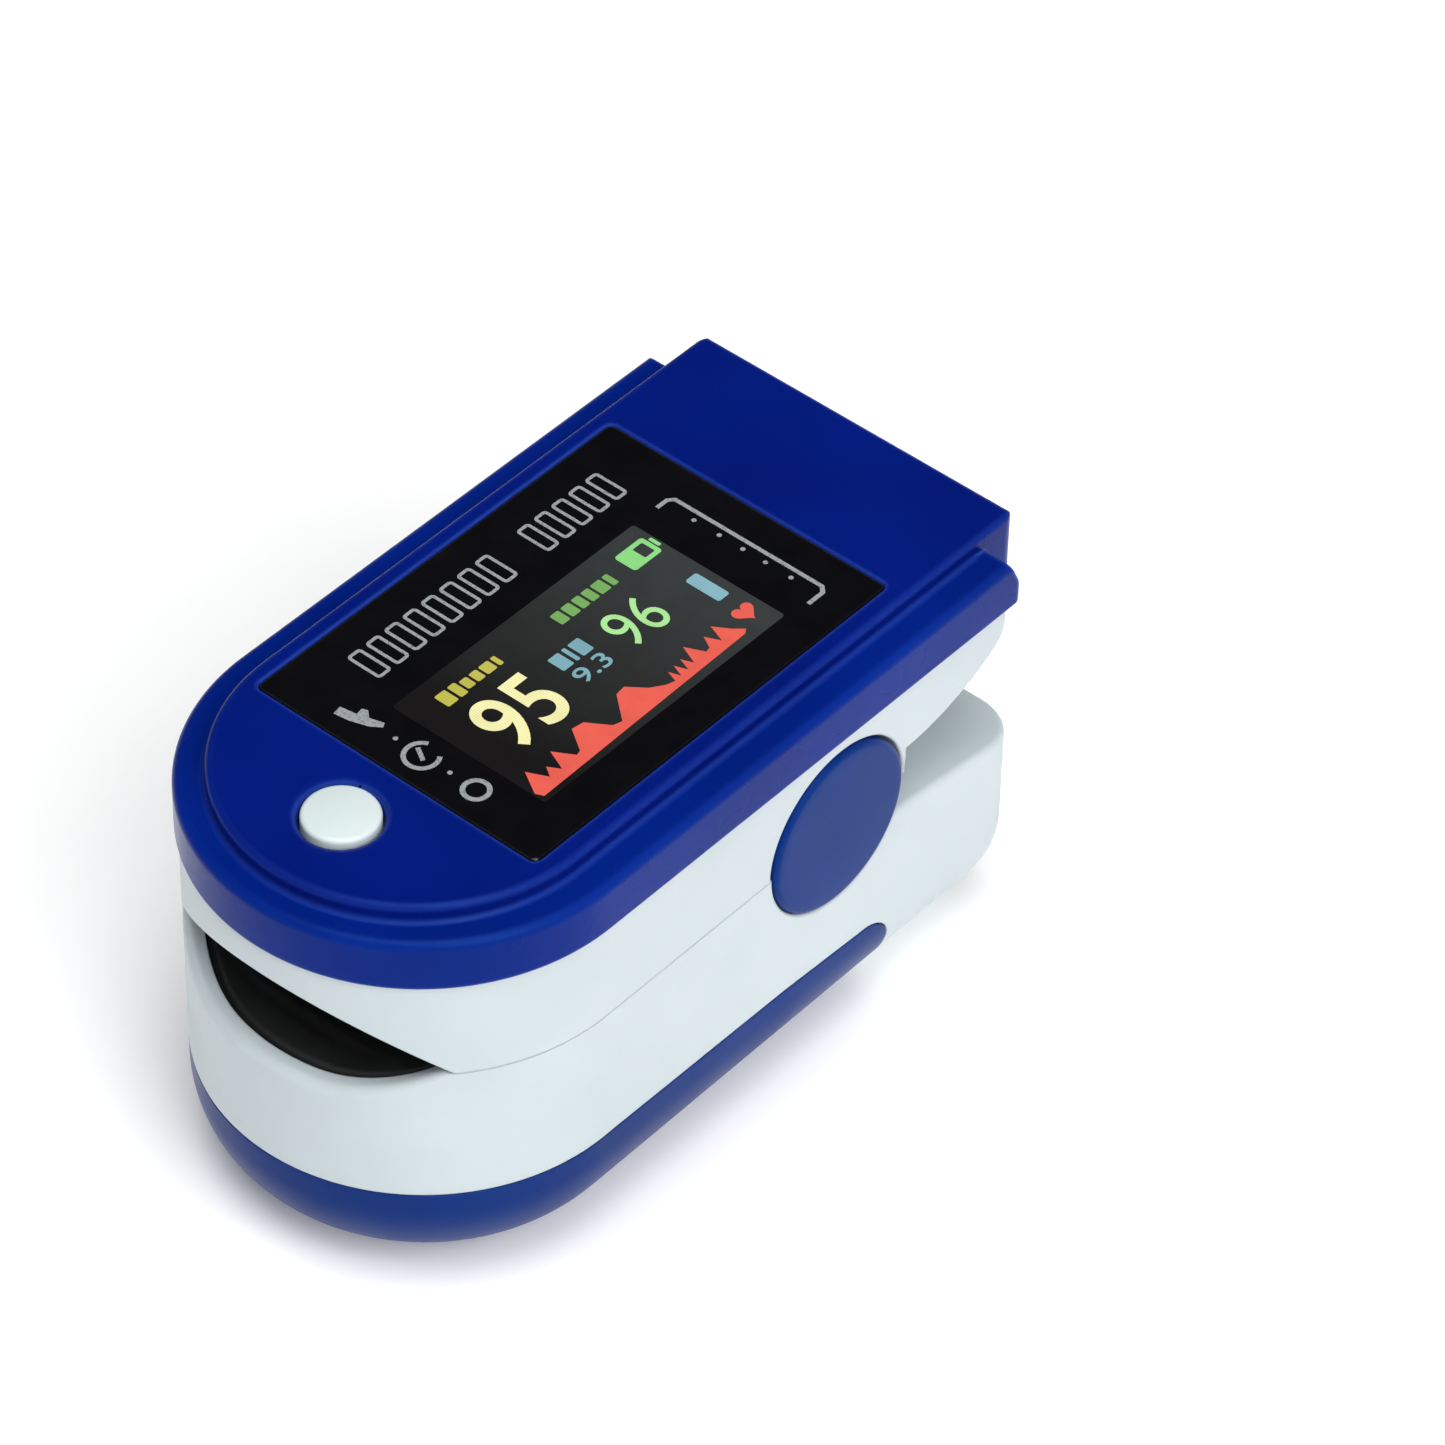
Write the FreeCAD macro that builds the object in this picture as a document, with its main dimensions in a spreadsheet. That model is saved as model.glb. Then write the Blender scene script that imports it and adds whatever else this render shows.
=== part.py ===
import FreeCAD, Part
import Sketcher
import math
import os

# Fingertip pulse oximeter. Millimetres; X to the right, Y from the finger
# mouth (nose, -Y) to the squeeze end (+Y), Z up. Origin: centre of the
# bounding box on the resting plane.

V = FreeCAD.Vector
doc = FreeCAD.newDocument("PulseOximeter")
sheet = doc.addObject("Spreadsheet::Sheet", "Dims")
rows = [0]


class Q:
    """A number together with the spreadsheet expression that gives it."""

    def __init__(self, value, text=None):
        self.v = float(value)
        self.t = text

    def _t(self):
        return self.t if self.t else repr(round(self.v, 6))

    def _op(self, other, sign, value):
        other = q(other)
        if self.t is None and other.t is None:
            return Q(value)
        return Q(value, "(%s %s %s)" % (self._t(), sign, other._t()))

    def __add__(self, o):
        return self._op(o, "+", self.v + q(o).v)

    def __radd__(self, o):
        return q(o)._op(self, "+", q(o).v + self.v)

    def __sub__(self, o):
        return self._op(o, "-", self.v - q(o).v)

    def __rsub__(self, o):
        return q(o)._op(self, "-", q(o).v - self.v)

    def __mul__(self, o):
        return self._op(o, "*", self.v * q(o).v)

    def __rmul__(self, o):
        return q(o)._op(self, "*", q(o).v * self.v)

    def __truediv__(self, o):
        return self._op(o, "/", self.v / q(o).v)

    def __neg__(self):
        return Q(-1)._op(self, "*", -self.v)


def q(x):
    return x if isinstance(x, Q) else Q(x)


def dim(alias, value):
    rows[0] += 1
    sheet.set("A%d" % rows[0], alias)
    sheet.set("B%d" % rows[0], repr(float(value)))
    sheet.setAlias("B%d" % rows[0], alias)
    return Q(value, "Dims." + alias)


# ---------------------------------------------------------------- dimensions
half_width = dim("half_width", 15.2)            # over the top cover's flange
half_length = dim("half_length", 28.3)
shell_inset = dim("shell_inset", 0.25)          # white shells under the flange
wall = dim("wall", 1.3)
seam_z = dim("seam_z", 19.35)                   # parting plane of the two jaws
seam_gap = dim("seam_gap", 0.2)
flange_bottom = dim("flange_bottom", 26.9)
flange_top = dim("flange_top", 30.7)
panel_top = dim("panel_top", 31.95)
panel_inset = dim("panel_inset", 2.3)
cover_rear = dim("cover_rear", 26.2)
skirt_bottom = dim("skirt_bottom", 25.5)
window_left = dim("window_left", 11.6)
window_right = dim("window_right", 11.4)
window_front = dim("window_front", 15.6)
window_rear = dim("window_rear", 17.2)
window_thick = dim("window_thick", 0.8)
button_y = dim("button_y", -20.3)
button_radius = dim("button_radius", 2.5)
button_play = dim("button_play", 0.15)
button_travel = dim("button_travel", 0.3)
hinge_y = dim("hinge_y", 8.76)
hinge_z = dim("hinge_z", 19.43)
pin_radius = dim("pin_radius", 1.5)
pin_play = dim("pin_play", 0.05)
disc_radius = dim("disc_radius", 6.2)
disc_thick = dim("disc_thick", 1.2)
bottom_round = dim("bottom_round", 7.2)
rear_corner = dim("rear_corner", 3.8)
door_height = dim("door_height", 8.75)
door_rear = dim("door_rear", 14.5)
door_gap = dim("door_gap", 0.1)
plate_bottom = dim("plate_bottom", 12.9)        # plate between cells and finger bed
plate_top = dim("plate_top", 13.9)
mouth_top = dim("mouth_top", 24.4)
mouth_arch = dim("mouth_arch", 15.0)            # radius of the finger arch
mouth_floor = dim("mouth_floor", 17.0)
mouth_flat = dim("mouth_flat", 3.2)
mouth_curve = dim("mouth_curve", 12.6)
pad_thick = dim("pad_thick", 1.2)
pad_rear = dim("pad_rear", 3.0)
roof_bottom = dim("roof_bottom", 25.4)
board_bottom = dim("board_bottom", 27.2)
board_thick = dim("board_thick", 1.0)
cell_radius = dim("cell_radius", 5.25)
cell_length = dim("cell_length", 44.5)
cell_x = dim("cell_x", 5.5)
cell_z = dim("cell_z", 7.3)
cell_front = dim("cell_front", -21.3)
nub_length = dim("nub_length", 0.8)
nub_radius = dim("nub_radius", 1.9)
screw_radius = dim("screw_radius", 0.8)
screw_head = dim("screw_head", 1.6)
screw_front_x = dim("screw_front_x", 11.2)
screw_front_y = dim("screw_front_y", -16.2)
screw_rear_x = dim("screw_rear_x", 9.0)
screw_rear_y = dim("screw_rear_y", 20.0)
sensor_y = dim("sensor_y", -8.0)
lens_radius = dim("lens_radius", 3.0)
eye_radius = dim("eye_radius", 0.9)
eye_y = dim("eye_y", 26.0)
doc.recompute()

nose_y = half_width - half_length               # centre of the round nose
shell_half = half_width - shell_inset
lower_top = seam_z - seam_gap / 2
upper_bottom = seam_z + seam_gap / 2
board_top = board_bottom + board_thick


# ------------------------------------------------------------------- helpers
def bind(obj, prop, value):
    value = q(value)
    if value.t:
        obj.setExpression(prop, value.t)


def body(name):
    b = doc.addObject("PartDesign::Body", name)
    b.Label = name
    return b


def sketch(b, name, plane, off=0.0):
    off = q(off)
    sk = b.newObject("Sketcher::SketchObject", name)
    for f in b.Origin.OriginFeatures:
        if f.Role == plane:
            sk.AttachmentSupport = [(f, "")]
    sk.MapMode = "FlatFace"
    sk.AttachmentOffset = FreeCAD.Placement(V(0, 0, off.v), FreeCAD.Rotation())
    bind(sk, "AttachmentOffset.Base.z", off)
    return sk


def limit(sk, kind, args, value):
    value = q(value)
    i = sk.addConstraint(Sketcher.Constraint(kind, *args, value.v))
    if value.t:
        sk.setExpression("Constraints[%d]" % i, value.t)


def place(sk, geo, end, x, y):
    """Holds a point of the sketch at x, y from its origin."""
    for kind, axis, val in (("DistanceX", -2, q(x)), ("DistanceY", -1, q(y))):
        if abs(val.v) < 1e-9:
            sk.addConstraint(Sketcher.Constraint("PointOnObject", geo, end, axis))
        else:
            limit(sk, kind, (-1, 1, geo, end), val)


def dee(sk, radius, centre, rear, corner):
    """Round-nosed outline: a half circle, straight sides, round rear corners."""
    radius, centre, rear, corner = q(radius), q(centre), q(rear), q(corner)
    R, c, e, k = radius.v, centre.v, rear.v, corner.v
    z = V(0, 0, 1)
    geo = [
        Part.ArcOfCircle(Part.Circle(V(0, c, 0), z, R), math.pi, 2 * math.pi),
        Part.LineSegment(V(R, c, 0), V(R, e - k, 0)),
        Part.ArcOfCircle(Part.Circle(V(R - k, e - k, 0), z, k), 0, math.pi / 2),
        Part.LineSegment(V(R - k, e, 0), V(-R + k, e, 0)),
        Part.ArcOfCircle(Part.Circle(V(-R + k, e - k, 0), z, k), math.pi / 2, math.pi),
        Part.LineSegment(V(-R, e - k, 0), V(-R, c, 0)),
    ]
    n = sk.GeometryCount
    sk.addGeometry(geo, False)
    for i in range(6):
        sk.addConstraint(Sketcher.Constraint("Tangent", n + i, 2, n + (i + 1) % 6, 1))
    sk.addConstraint(Sketcher.Constraint("Vertical", n + 1))
    sk.addConstraint(Sketcher.Constraint("Horizontal", n + 3))
    sk.addConstraint(Sketcher.Constraint("Vertical", n + 5))
    sk.addConstraint(Sketcher.Constraint("PointOnObject", n, 3, -2))
    limit(sk, "DistanceY", (-1, 1, n, 3), centre)
    limit(sk, "Radius", (n,), radius)
    limit(sk, "Radius", (n + 2,), corner)
    sk.addConstraint(Sketcher.Constraint("Equal", n + 2, n + 4))
    limit(sk, "DistanceY", (-1, 1, n + 3, 1), rear)


def ring(sk, x, y, r):
    x, y, r = q(x), q(y), q(r)
    n = sk.addGeometry(Part.Circle(V(x.v, y.v, 0), V(0, 0, 1), r.v), False)
    place(sk, n, 3, x, y)
    limit(sk, "Radius", (n,), r)


def path(sk, start, steps):
    """Closed outline of lines ("L", x, y) and arcs ("A", xmid, ymid, x, y)."""
    n0 = sk.GeometryCount
    pts = [(q(start[0]), q(start[1]))]
    ends = []
    for s in steps:
        a = pts[-1]
        b = (q(s[-2]), q(s[-1]))
        if s is steps[-1]:
            b = pts[0]
        pa, pb = V(a[0].v, a[1].v, 0), V(b[0].v, b[1].v, 0)
        if s[0] == "L":
            g = sk.addGeometry(Part.LineSegment(pa, pb), False)
            ends.append((g, 1, 2))
        elif s[0] == "D":
            # arc whose centre lies on the vertical axis, ending on that axis
            r, sag = (pa.x, pa.y - pb.y) if abs(pb.x) < 1e-9 else (pb.x, pb.y - pa.y)
            radius = (r * r + sag * sag) / (2 * abs(sag))
            top = pb.y if abs(pb.x) < 1e-9 else pa.y
            c = V(0, top + math.copysign(radius, sag), 0)
            a0 = math.atan2(pa.y - c.y, pa.x - c.x)
            a1 = math.atan2(pb.y - c.y, pb.x - c.x)
            if sag > 0:
                a0, a1 = a0 % (2 * math.pi), a1 % (2 * math.pi)
            swap = a1 < a0
            if swap:
                a0, a1 = a1, a0
            circle = Part.Circle(c, V(0, 0, 1), radius)
            g = sk.addGeometry(Part.ArcOfCircle(circle, a0, a1), False)
            ends.append((g, 2, 1) if swap else (g, 1, 2))
            sk.addConstraint(Sketcher.Constraint("PointOnObject", g, 3, -2))
        else:
            m = V(q(s[1]).v, q(s[2]).v, 0)
            arc = Part.Arc(pa, m, pb).toShape().Curve
            c = arc.Center
            a0 = math.atan2(pa.y - c.y, pa.x - c.x)
            a1 = math.atan2(pb.y - c.y, pb.x - c.x)
            am = math.atan2(m.y - c.y, m.x - c.x)
            ccw = (am - a0) % (2 * math.pi) < (a1 - a0) % (2 * math.pi)
            if not ccw:
                a0, a1 = a1, a0
            if a1 < a0:
                a1 += 2 * math.pi
            circle = Part.Circle(V(c.x, c.y, 0), V(0, 0, 1), arc.Radius)
            g = sk.addGeometry(Part.ArcOfCircle(circle, a0, a1), False)
            ends.append((g, 1, 2) if ccw else (g, 2, 1))
            sk.addConstraint(Sketcher.Constraint("Radius", g, arc.Radius))
        pts.append(b)
    k = len(ends)
    for i in range(k):
        g, s0, e0 = ends[i]
        h, s1, e1 = ends[(i + 1) % k]
        sk.addConstraint(Sketcher.Constraint("Coincident", g, e0, h, s1))
    for i in range(k):
        place(sk, ends[i][0], ends[i][1], pts[i][0], pts[i][1])


def rect(sk, x0, x1, y0, y1):
    path(sk, (x0, y0), [("L", x1, y0), ("L", x1, y1), ("L", x0, y1), ("L", x0, y0)])


def pad(b, sk, name, length, reverse=False, middle=False):
    f = b.newObject("PartDesign::Pad", name)
    f.Profile = sk
    f.Length = q(length).v
    bind(f, "Length", length)
    f.Reversed = reverse
    if middle:
        f.SideType = "Symmetric"
    sk.Visibility = False
    doc.recompute()
    if f.Shape.isNull() or not f.Shape.isValid():
        raise RuntimeError("%s of %s failed" % (name, b.Label))
    return f


def pocket(b, sk, name, length, reverse=False, middle=False):
    before = b.Shape.Volume
    f = b.newObject("PartDesign::Pocket", name)
    f.Profile = sk
    f.Length = q(length).v
    bind(f, "Length", length)
    f.Reversed = reverse
    if middle:
        f.SideType = "Symmetric"
    sk.Visibility = False
    doc.recompute()
    if b.Shape.Volume > before - 1e-4:
        raise RuntimeError("%s of %s cut nothing" % (name, b.Label))
    return f


def round_edges(b, name, radius, choose, kind="Fillet"):
    base = b.Tip
    names = []
    for i, e in enumerate(base.Shape.Edges):
        if choose(e):
            names.append("Edge%d" % (i + 1))
    if not names:
        raise RuntimeError("no edges for %s of %s" % (name, b.Label))
    f = b.newObject("PartDesign::" + kind, name)
    f.Base = (base, names)
    prop = "Radius" if kind == "Fillet" else "Size"
    setattr(f, prop, q(radius).v)
    bind(f, prop, radius)
    doc.recompute()
    if "Invalid" in f.State or "Error" in f.State or not f.Shape.isValid():
        raise RuntimeError("%s of %s failed" % (name, b.Label))
    return f


def at_z(z, tol=0.01):
    def test(e):
        bb = e.BoundBox
        return abs(bb.ZMin - z) < tol and abs(bb.ZMax - z) < tol
    return test


def box(name, x0, x1, y0, y1, z0, z1):
    o = doc.addObject("Part::Box", name)
    o.Label = name
    for prop, a, b_, axis in (("Length", x0, x1, "x"), ("Width", y0, y1, "y"), ("Height", z0, z1, "z")):
        size = q(b_) - q(a)
        setattr(o, prop, size.v)
        bind(o, prop, size)
    o.Placement = FreeCAD.Placement(V(q(x0).v, q(y0).v, q(z0).v), FreeCAD.Rotation())
    bind(o, "Placement.Base.x", x0)
    bind(o, "Placement.Base.y", y0)
    bind(o, "Placement.Base.z", z0)
    return o


def rod(name, r, length, x, y, z, along="z"):
    o = doc.addObject("Part::Cylinder", name)
    o.Label = name
    o.Radius = q(r).v
    o.Height = q(length).v
    bind(o, "Radius", r)
    bind(o, "Height", length)
    turn = {"z": FreeCAD.Rotation(), "x": FreeCAD.Rotation(V(0, 1, 0), 90),
            "y": FreeCAD.Rotation(V(1, 0, 0), -90)}[along]
    o.Placement = FreeCAD.Placement(V(q(x).v, q(y).v, q(z).v), turn)
    bind(o, "Placement.Base.x", x)
    bind(o, "Placement.Base.y", y)
    bind(o, "Placement.Base.z", z)
    return o


def fuse(name, parts):
    o = doc.addObject("Part::MultiFuse", name)
    o.Label = name
    o.Shapes = parts
    o.Refine = True
    return o


def cut(name, base, tool):
    o = doc.addObject("Part::Cut", name)
    o.Label = name
    o.Base = base
    o.Tool = tool
    o.Refine = True
    return o


def common(name, parts):
    o = doc.addObject("Part::MultiCommon", name)
    o.Label = name
    o.Shapes = parts
    o.Refine = True
    return o


def group(name, parts):
    o = doc.addObject("Part::Compound", name)
    o.Label = name
    o.Links = parts
    return o


nodes = {}


def keep(obj, name=None):
    obj.Label = name or obj.Label
    nodes[obj.Label] = obj
    return obj


# ------------------------------------------------------------------ top cover
# Blue flange with a raised panel, a recess for the window and a button hole.
b = body("top_cover")
sk = sketch(b, "cover_flange_outline", "XY_Plane", flange_bottom)
dee(sk, half_width, nose_y, cover_rear, 0.7)
pad(b, sk, "cover_flange", flange_top - flange_bottom)
round_edges(b, "cover_ledge_round", 0.55, at_z(flange_top.v))
round_edges(b, "cover_under_round", 0.25, at_z(flange_bottom.v))
# the flange's rear end leans forward beside the tail
sk = sketch(b, "cover_end_profile", "YZ_Plane")
path(sk, (24.75, 30.9), [("L", 26.4, 27.4), ("L", 27.6, 27.4), ("L", 27.6, 30.9), ("L", 24.75, 30.9)])
pocket(b, sk, "cover_end_slope", 34.0, middle=True)
panel_half = half_width - panel_inset
tail_corner = 0.9
sk = sketch(b, "cover_panel_outline", "XY_Plane", flange_top - 0.6)
dee(sk, panel_half, nose_y - 0.4, half_length, tail_corner)
pad(b, sk, "cover_panel", panel_top - flange_top + 0.6)
tail_k = tail_corner * (1 - math.sqrt(0.5))
for name, low, front, height in (("cover_tail", flange_bottom, 22.0, flange_top - 0.6 - flange_bottom),
                                 ("cover_skirt", skirt_bottom, half_length - tail_corner, flange_bottom - skirt_bottom)):
    sk = sketch(b, name + "_outline", "XY_Plane", low)
    corner = [("A", panel_half - tail_k, half_length - tail_k, panel_half - tail_corner, half_length),
              ("L", -panel_half + tail_corner, half_length),
              ("A", -panel_half + tail_k, half_length - tail_k, -panel_half, half_length - tail_corner)]
    if name == "cover_tail":
        path(sk, (-panel_half, front), [("L", panel_half, front), ("L", panel_half, half_length - tail_corner)]
             + corner + [("L", -panel_half, front)])
    else:
        path(sk, (-panel_half, front), [("L", panel_half, front)] + corner)
    pad(b, sk, name, height)
round_edges(b, "cover_panel_round", 0.4, at_z(panel_top.v))
# the tail's end face leans forward as well
sk = sketch(b, "cover_tail_profile", "YZ_Plane")
path(sk, (27.35, 32.2), [("L", 27.85, 31.6), ("L", 28.3, 28.2), ("L", 28.3, 28.0), ("L", 29.5, 28.0), ("L", 29.5, 32.2), ("L", 27.35, 32.2)])
pocket(b, sk, "cover_tail_slope", 34.0, middle=True)
sk = sketch(b, "cover_hollow_outline", "XY_Plane", flange_bottom)
dee(sk, half_width - 1.2, nose_y, 24.7, 1.0)
pocket(b, sk, "cover_hollow", 2.7, reverse=True)
sk = sketch(b, "cover_roof_outline", "XY_Plane", flange_bottom + 2.6)
dee(sk, panel_half - 1.1, nose_y, 24.7, 1.0)
pocket(b, sk, "cover_roof", 0.5, reverse=True)
sk = sketch(b, "window_recess_outline", "XY_Plane", panel_top)
rect(sk, -window_left, window_right, -window_front, window_rear)
pocket(b, sk, "window_recess", window_thick)
round_edges(b, "window_recess_corner", 0.5, lambda e: e.BoundBox.XLength < 0.01 and e.BoundBox.YLength < 0.01
            and abs(e.BoundBox.ZMax - panel_top.v) < 0.01 and abs(e.BoundBox.ZLength - window_thick.v) < 0.01)
sk = sketch(b, "display_aperture_outline", "XY_Plane", panel_top)
rect(sk, -8.9, 9.5, -12.4, 12.6)
pocket(b, sk, "display_aperture", 2.2)
# shallow dish round the button
dish = b.newObject("PartDesign::SubtractiveSphere", "button_dish")
dish.MapMode = "Deactivated"
dish.Radius = 16.5
dish.Placement = FreeCAD.Placement(V(0, button_y.v, panel_top.v + 16.5 - 0.33), FreeCAD.Rotation())
dish.setExpression("Placement.Base.y", button_y.t)
doc.recompute()
sk = sketch(b, "button_hole_outline", "XY_Plane", panel_top)
ring(sk, 0, button_y, button_radius + button_play)
pocket(b, sk, "button_hole", 3.0)
sk = sketch(b, "cover_boss_outline", "XY_Plane", board_top + 0.05)
for sx in (-1, 1):
    ring(sk, screw_front_x * sx, screw_front_y, 1.9)
    ring(sk, screw_rear_x * sx, screw_rear_y, 1.9)
pad(b, sk, "cover_bosses", 1.85)
sk = sketch(b, "cover_boss_hole_outline", "XY_Plane", board_top)
for sx in (-1, 1):
    ring(sk, screw_front_x * sx, screw_front_y, screw_radius)
    ring(sk, screw_rear_x * sx, screw_rear_y, screw_radius)
pocket(b, sk, "cover_boss_holes", 1.35, reverse=True)
keep(b)

# window: dark clear lens, flush in its recess
b = body("display_window")
sk = sketch(b, "window_outline", "XY_Plane", panel_top - window_thick)
rect(sk, -window_left + 0.06, window_right - 0.06, -window_front + 0.06, window_rear - 0.06)
pad(b, sk, "window_plate", window_thick)
round_edges(b, "window_corner", 0.44, lambda e: e.BoundBox.XLength < 0.01 and e.BoundBox.YLength < 0.01)
round_edges(b, "window_edge", 0.12, at_z(panel_top.v), "Chamfer")
keep(b)

# OLED panel behind the window, on a foam frame on the board
keep(box("display_foam", -8.6, 9.2, -12.6, 12.6, board_top, board_top + 0.25))
panel = box("display_glass", -9.3, 9.96, -13.35, 13.35, board_top + 0.3, board_top + 1.5)
step = box("display_step", -9.4, 10.1, 11.4, 13.4, board_top + 1.0, board_top + 1.6)
keep(cut("display_module", panel, step))

# ------------------------------------------------------------- power button
b = body("power_button")
b.Placement = FreeCAD.Placement(V(0, button_y.v, 0), FreeCAD.Rotation())
b.setExpression("Placement.Base.y", button_y.t)
sk = sketch(b, "button_profile", "YZ_Plane")
path(sk, (0, 29.5), [("L", 3.4, 29.5), ("L", 3.4, 29.9), ("L", button_radius, 29.9),
     ("L", button_radius, 31.9), ("A", 2.39, 32.15, 2.1, 32.23), ("D", 0, 32.35),
     ("L", 0, 29.5)])
f = b.newObject("PartDesign::Revolution", "button_turned")
f.Profile = sk
f.ReferenceAxis = (sk, ["V_Axis"])
f.Angle = 360.0
doc.recompute()
keep(b)
keep(rod("switch_plunger", 1.0, 29.45 - 28.75, 0, button_y, 28.75))
case = box("switch_case", -2.6, 2.6, button_y - 2.6, button_y + 2.6, board_top, 29.0)
well = rod("switch_well", 1.08, 2.0, 0, button_y, 28.3)
keep(cut("tact_switch", case, well))

# ------------------------------------------------------------ circuit boards
b = body("main_board")
sk = sketch(b, "board_outline", "XY_Plane", board_bottom)
dee(sk, half_width - 1.55, nose_y, 24.4, 1.0)
pad(b, sk, "board_plate", board_thick)
sk = sketch(b, "board_hole_outline", "XY_Plane", board_bottom)
for sx in (-1, 1):
    ring(sk, screw_front_x * sx, screw_front_y, screw_radius + 0.1)
    ring(sk, screw_rear_x * sx, screw_rear_y, screw_radius + 0.1)
pocket(b, sk, "board_holes", board_thick, reverse=True)
keep(b)
keep(group("board_chips", [
    box("processor_chip", -3.6, 3.4, 15.6, 22.6, board_top, board_top + 0.9),
    box("driver_chip", -12.2, -9.9, -2.0, 3.0, board_top, board_top + 0.9),
    box("power_chip", 10.6, 12.4, 2.0, 5.2, board_top, board_top + 0.8),
    box("coil_chip", 10.6, 12.4, -6.0, -2.4, board_top, board_top + 1.0)]))
keep(box("led_emitter", -2.0, 2.0, sensor_y - 1.6, sensor_y + 1.6, board_bottom - 1.5, board_bottom))

# screws from below through the shell roof and the board into the cover bosses
screws = []
for i, (sx, x, y) in enumerate(((-1, screw_front_x, screw_front_y), (1, screw_front_x, screw_front_y),
                                (-1, screw_rear_x, screw_rear_y), (1, screw_rear_x, screw_rear_y))):
    shank = rod("screw_shank%d" % i, screw_radius, 29.3 - roof_bottom, x * sx, y, roof_bottom)
    head = rod("screw_head%d" % i, screw_head, 1.1, x * sx, y, roof_bottom - 1.1)
    whole = fuse("screw_blank%d" % i, [shank, head])
    a = box("screw_slot_a%d" % i, x * sx - 0.95, x * sx + 0.95, y - 0.17, y + 0.17, roof_bottom - 1.2, roof_bottom - 0.5)
    c = box("screw_slot_b%d" % i, x * sx - 0.17, x * sx + 0.17, y - 0.95, y + 0.95, roof_bottom - 1.2, roof_bottom - 0.5)
    screws.append(cut("screw%d" % i, whole, fuse("screw_cross%d" % i, [a, c])))
keep(group("upper_screws", screws))

# ---------------------------------------------------------------- upper shell
b = body("upper_shell")
sk = sketch(b, "upper_outline", "XY_Plane", upper_bottom)
dee(sk, shell_half, nose_y, 26.6, 2.6)
pad(b, sk, "upper_block", flange_bottom - upper_bottom)
# squeeze end: the underside sweeps up to the rear edge of the cover
sk = sketch(b, "upper_rear_profile", "YZ_Plane")
path(sk, (15.3, 21.35), [("A", 21.3, 22.6, 26.75, 26.3), ("L", 29.0, 28.0), ("L", 29.0, 18.0),
     ("L", 15.3, 18.0), ("L", 15.3, 21.35)])
pocket(b, sk, "upper_rear_sweep", shell_half * 2 + 2, middle=True)
sk = sketch(b, "upper_cavity_outline", "XY_Plane", upper_bottom)
dee(sk, shell_half - wall, nose_y, 14.2, 1.2)
pocket(b, sk, "upper_cavity", roof_bottom - upper_bottom, reverse=True)
# finger mouth in the nose
sk = sketch(b, "upper_mouth_profile", "XZ_Plane", 30.0)
path(sk, (-11.13, upper_bottom - 1.0), [("L", 11.13, upper_bottom - 1.0), ("L", 11.13, upper_bottom),
     ("A", 0, mouth_top, -11.13, upper_bottom), ("L", -11.13, upper_bottom - 1.0)])
pocket(b, sk, "upper_mouth", 12.0)
# hollow over the squeeze end, open towards the board
sk = sketch(b, "upper_rear_hollow_profile", "YZ_Plane")
path(sk, (15.4, 28.0), [("L", 15.4, 22.8), ("L", 19.0, 23.1), ("L", 22.0, 24.3), ("L", 24.6, 26.0),
     ("L", 24.6, 28.0), ("L", 15.4, 28.0)])
pocket(b, sk, "upper_rear_hollow", (shell_half - wall) * 2, middle=True)
# hinge ears inside the lower ears
sk = sketch(b, "upper_ear_profile", "YZ_Plane", 11.0)
path(sk, (hinge_y - 5.0, hinge_z), [("A", hinge_y - 3.5355, hinge_z - 3.5355, hinge_y, hinge_z - 5.0),
     ("A", hinge_y + 3.5355, hinge_z - 3.5355, hinge_y + 5.0, hinge_z),
     ("L", hinge_y + 5.0, roof_bottom + 0.3), ("L", hinge_y - 5.0, roof_bottom + 0.3), ("L", hinge_y - 5.0, hinge_z)])
pad(b, sk, "upper_ear_right", 1.2)
sk = sketch(b, "upper_ear_profile2", "YZ_Plane", -11.0)
path(sk, (hinge_y - 5.0, hinge_z), [("A", hinge_y - 3.5355, hinge_z - 3.5355, hinge_y, hinge_z - 5.0),
     ("A", hinge_y + 3.5355, hinge_z - 3.5355, hinge_y + 5.0, hinge_z),
     ("L", hinge_y + 5.0, roof_bottom + 0.3), ("L", hinge_y - 5.0, roof_bottom + 0.3), ("L", hinge_y - 5.0, hinge_z)])
pad(b, sk, "upper_ear_left", 1.2, reverse=True)
# round clearance for the hinge covers and the lower ears
sk = sketch(b, "disc_clearance_right", "YZ_Plane", 12.35)
ring(sk, hinge_y, hinge_z, disc_radius + 0.2)
pocket(b, sk, "disc_cut_right", 4.0, reverse=True)
sk = sketch(b, "disc_clearance_left", "YZ_Plane", -12.35)
ring(sk, hinge_y, hinge_z, disc_radius + 0.2)
pocket(b, sk, "disc_cut_left", 4.0)
sk = sketch(b, "upper_pin_hole", "YZ_Plane")
ring(sk, hinge_y, hinge_z, pin_radius + pin_play)
pocket(b, sk, "upper_pin_bore", 26.0, middle=True)
# screw posts, then their bores
sk = sketch(b, "upper_post_outline", "XY_Plane", roof_bottom)
for sx in (-1, 1):
    ring(sk, screw_front_x * sx, screw_front_y, 1.9)
pad(b, sk, "upper_front_posts", board_bottom - roof_bottom)
sk = sketch(b, "upper_rear_post_outline", "XY_Plane", 22.9)
for sx in (-1, 1):
    ring(sk, screw_rear_x * sx, screw_rear_y, 2.7)
pad(b, sk, "upper_rear_posts", board_bottom - 22.9)
sk = sketch(b, "upper_screw_bore_outline", "XY_Plane", 20.0)
for sx in (-1, 1):
    ring(sk, screw_front_x * sx, screw_front_y, screw_radius + 0.1)
    ring(sk, screw_rear_x * sx, screw_rear_y, screw_radius + 0.1)
pocket(b, sk, "upper_screw_bores", 8.0, reverse=True)
sk = sketch(b, "upper_counterbore_outline", "XY_Plane", 20.0)
for sx in (-1, 1):
    ring(sk, screw_rear_x * sx, screw_rear_y, screw_head + 0.15)
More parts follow.
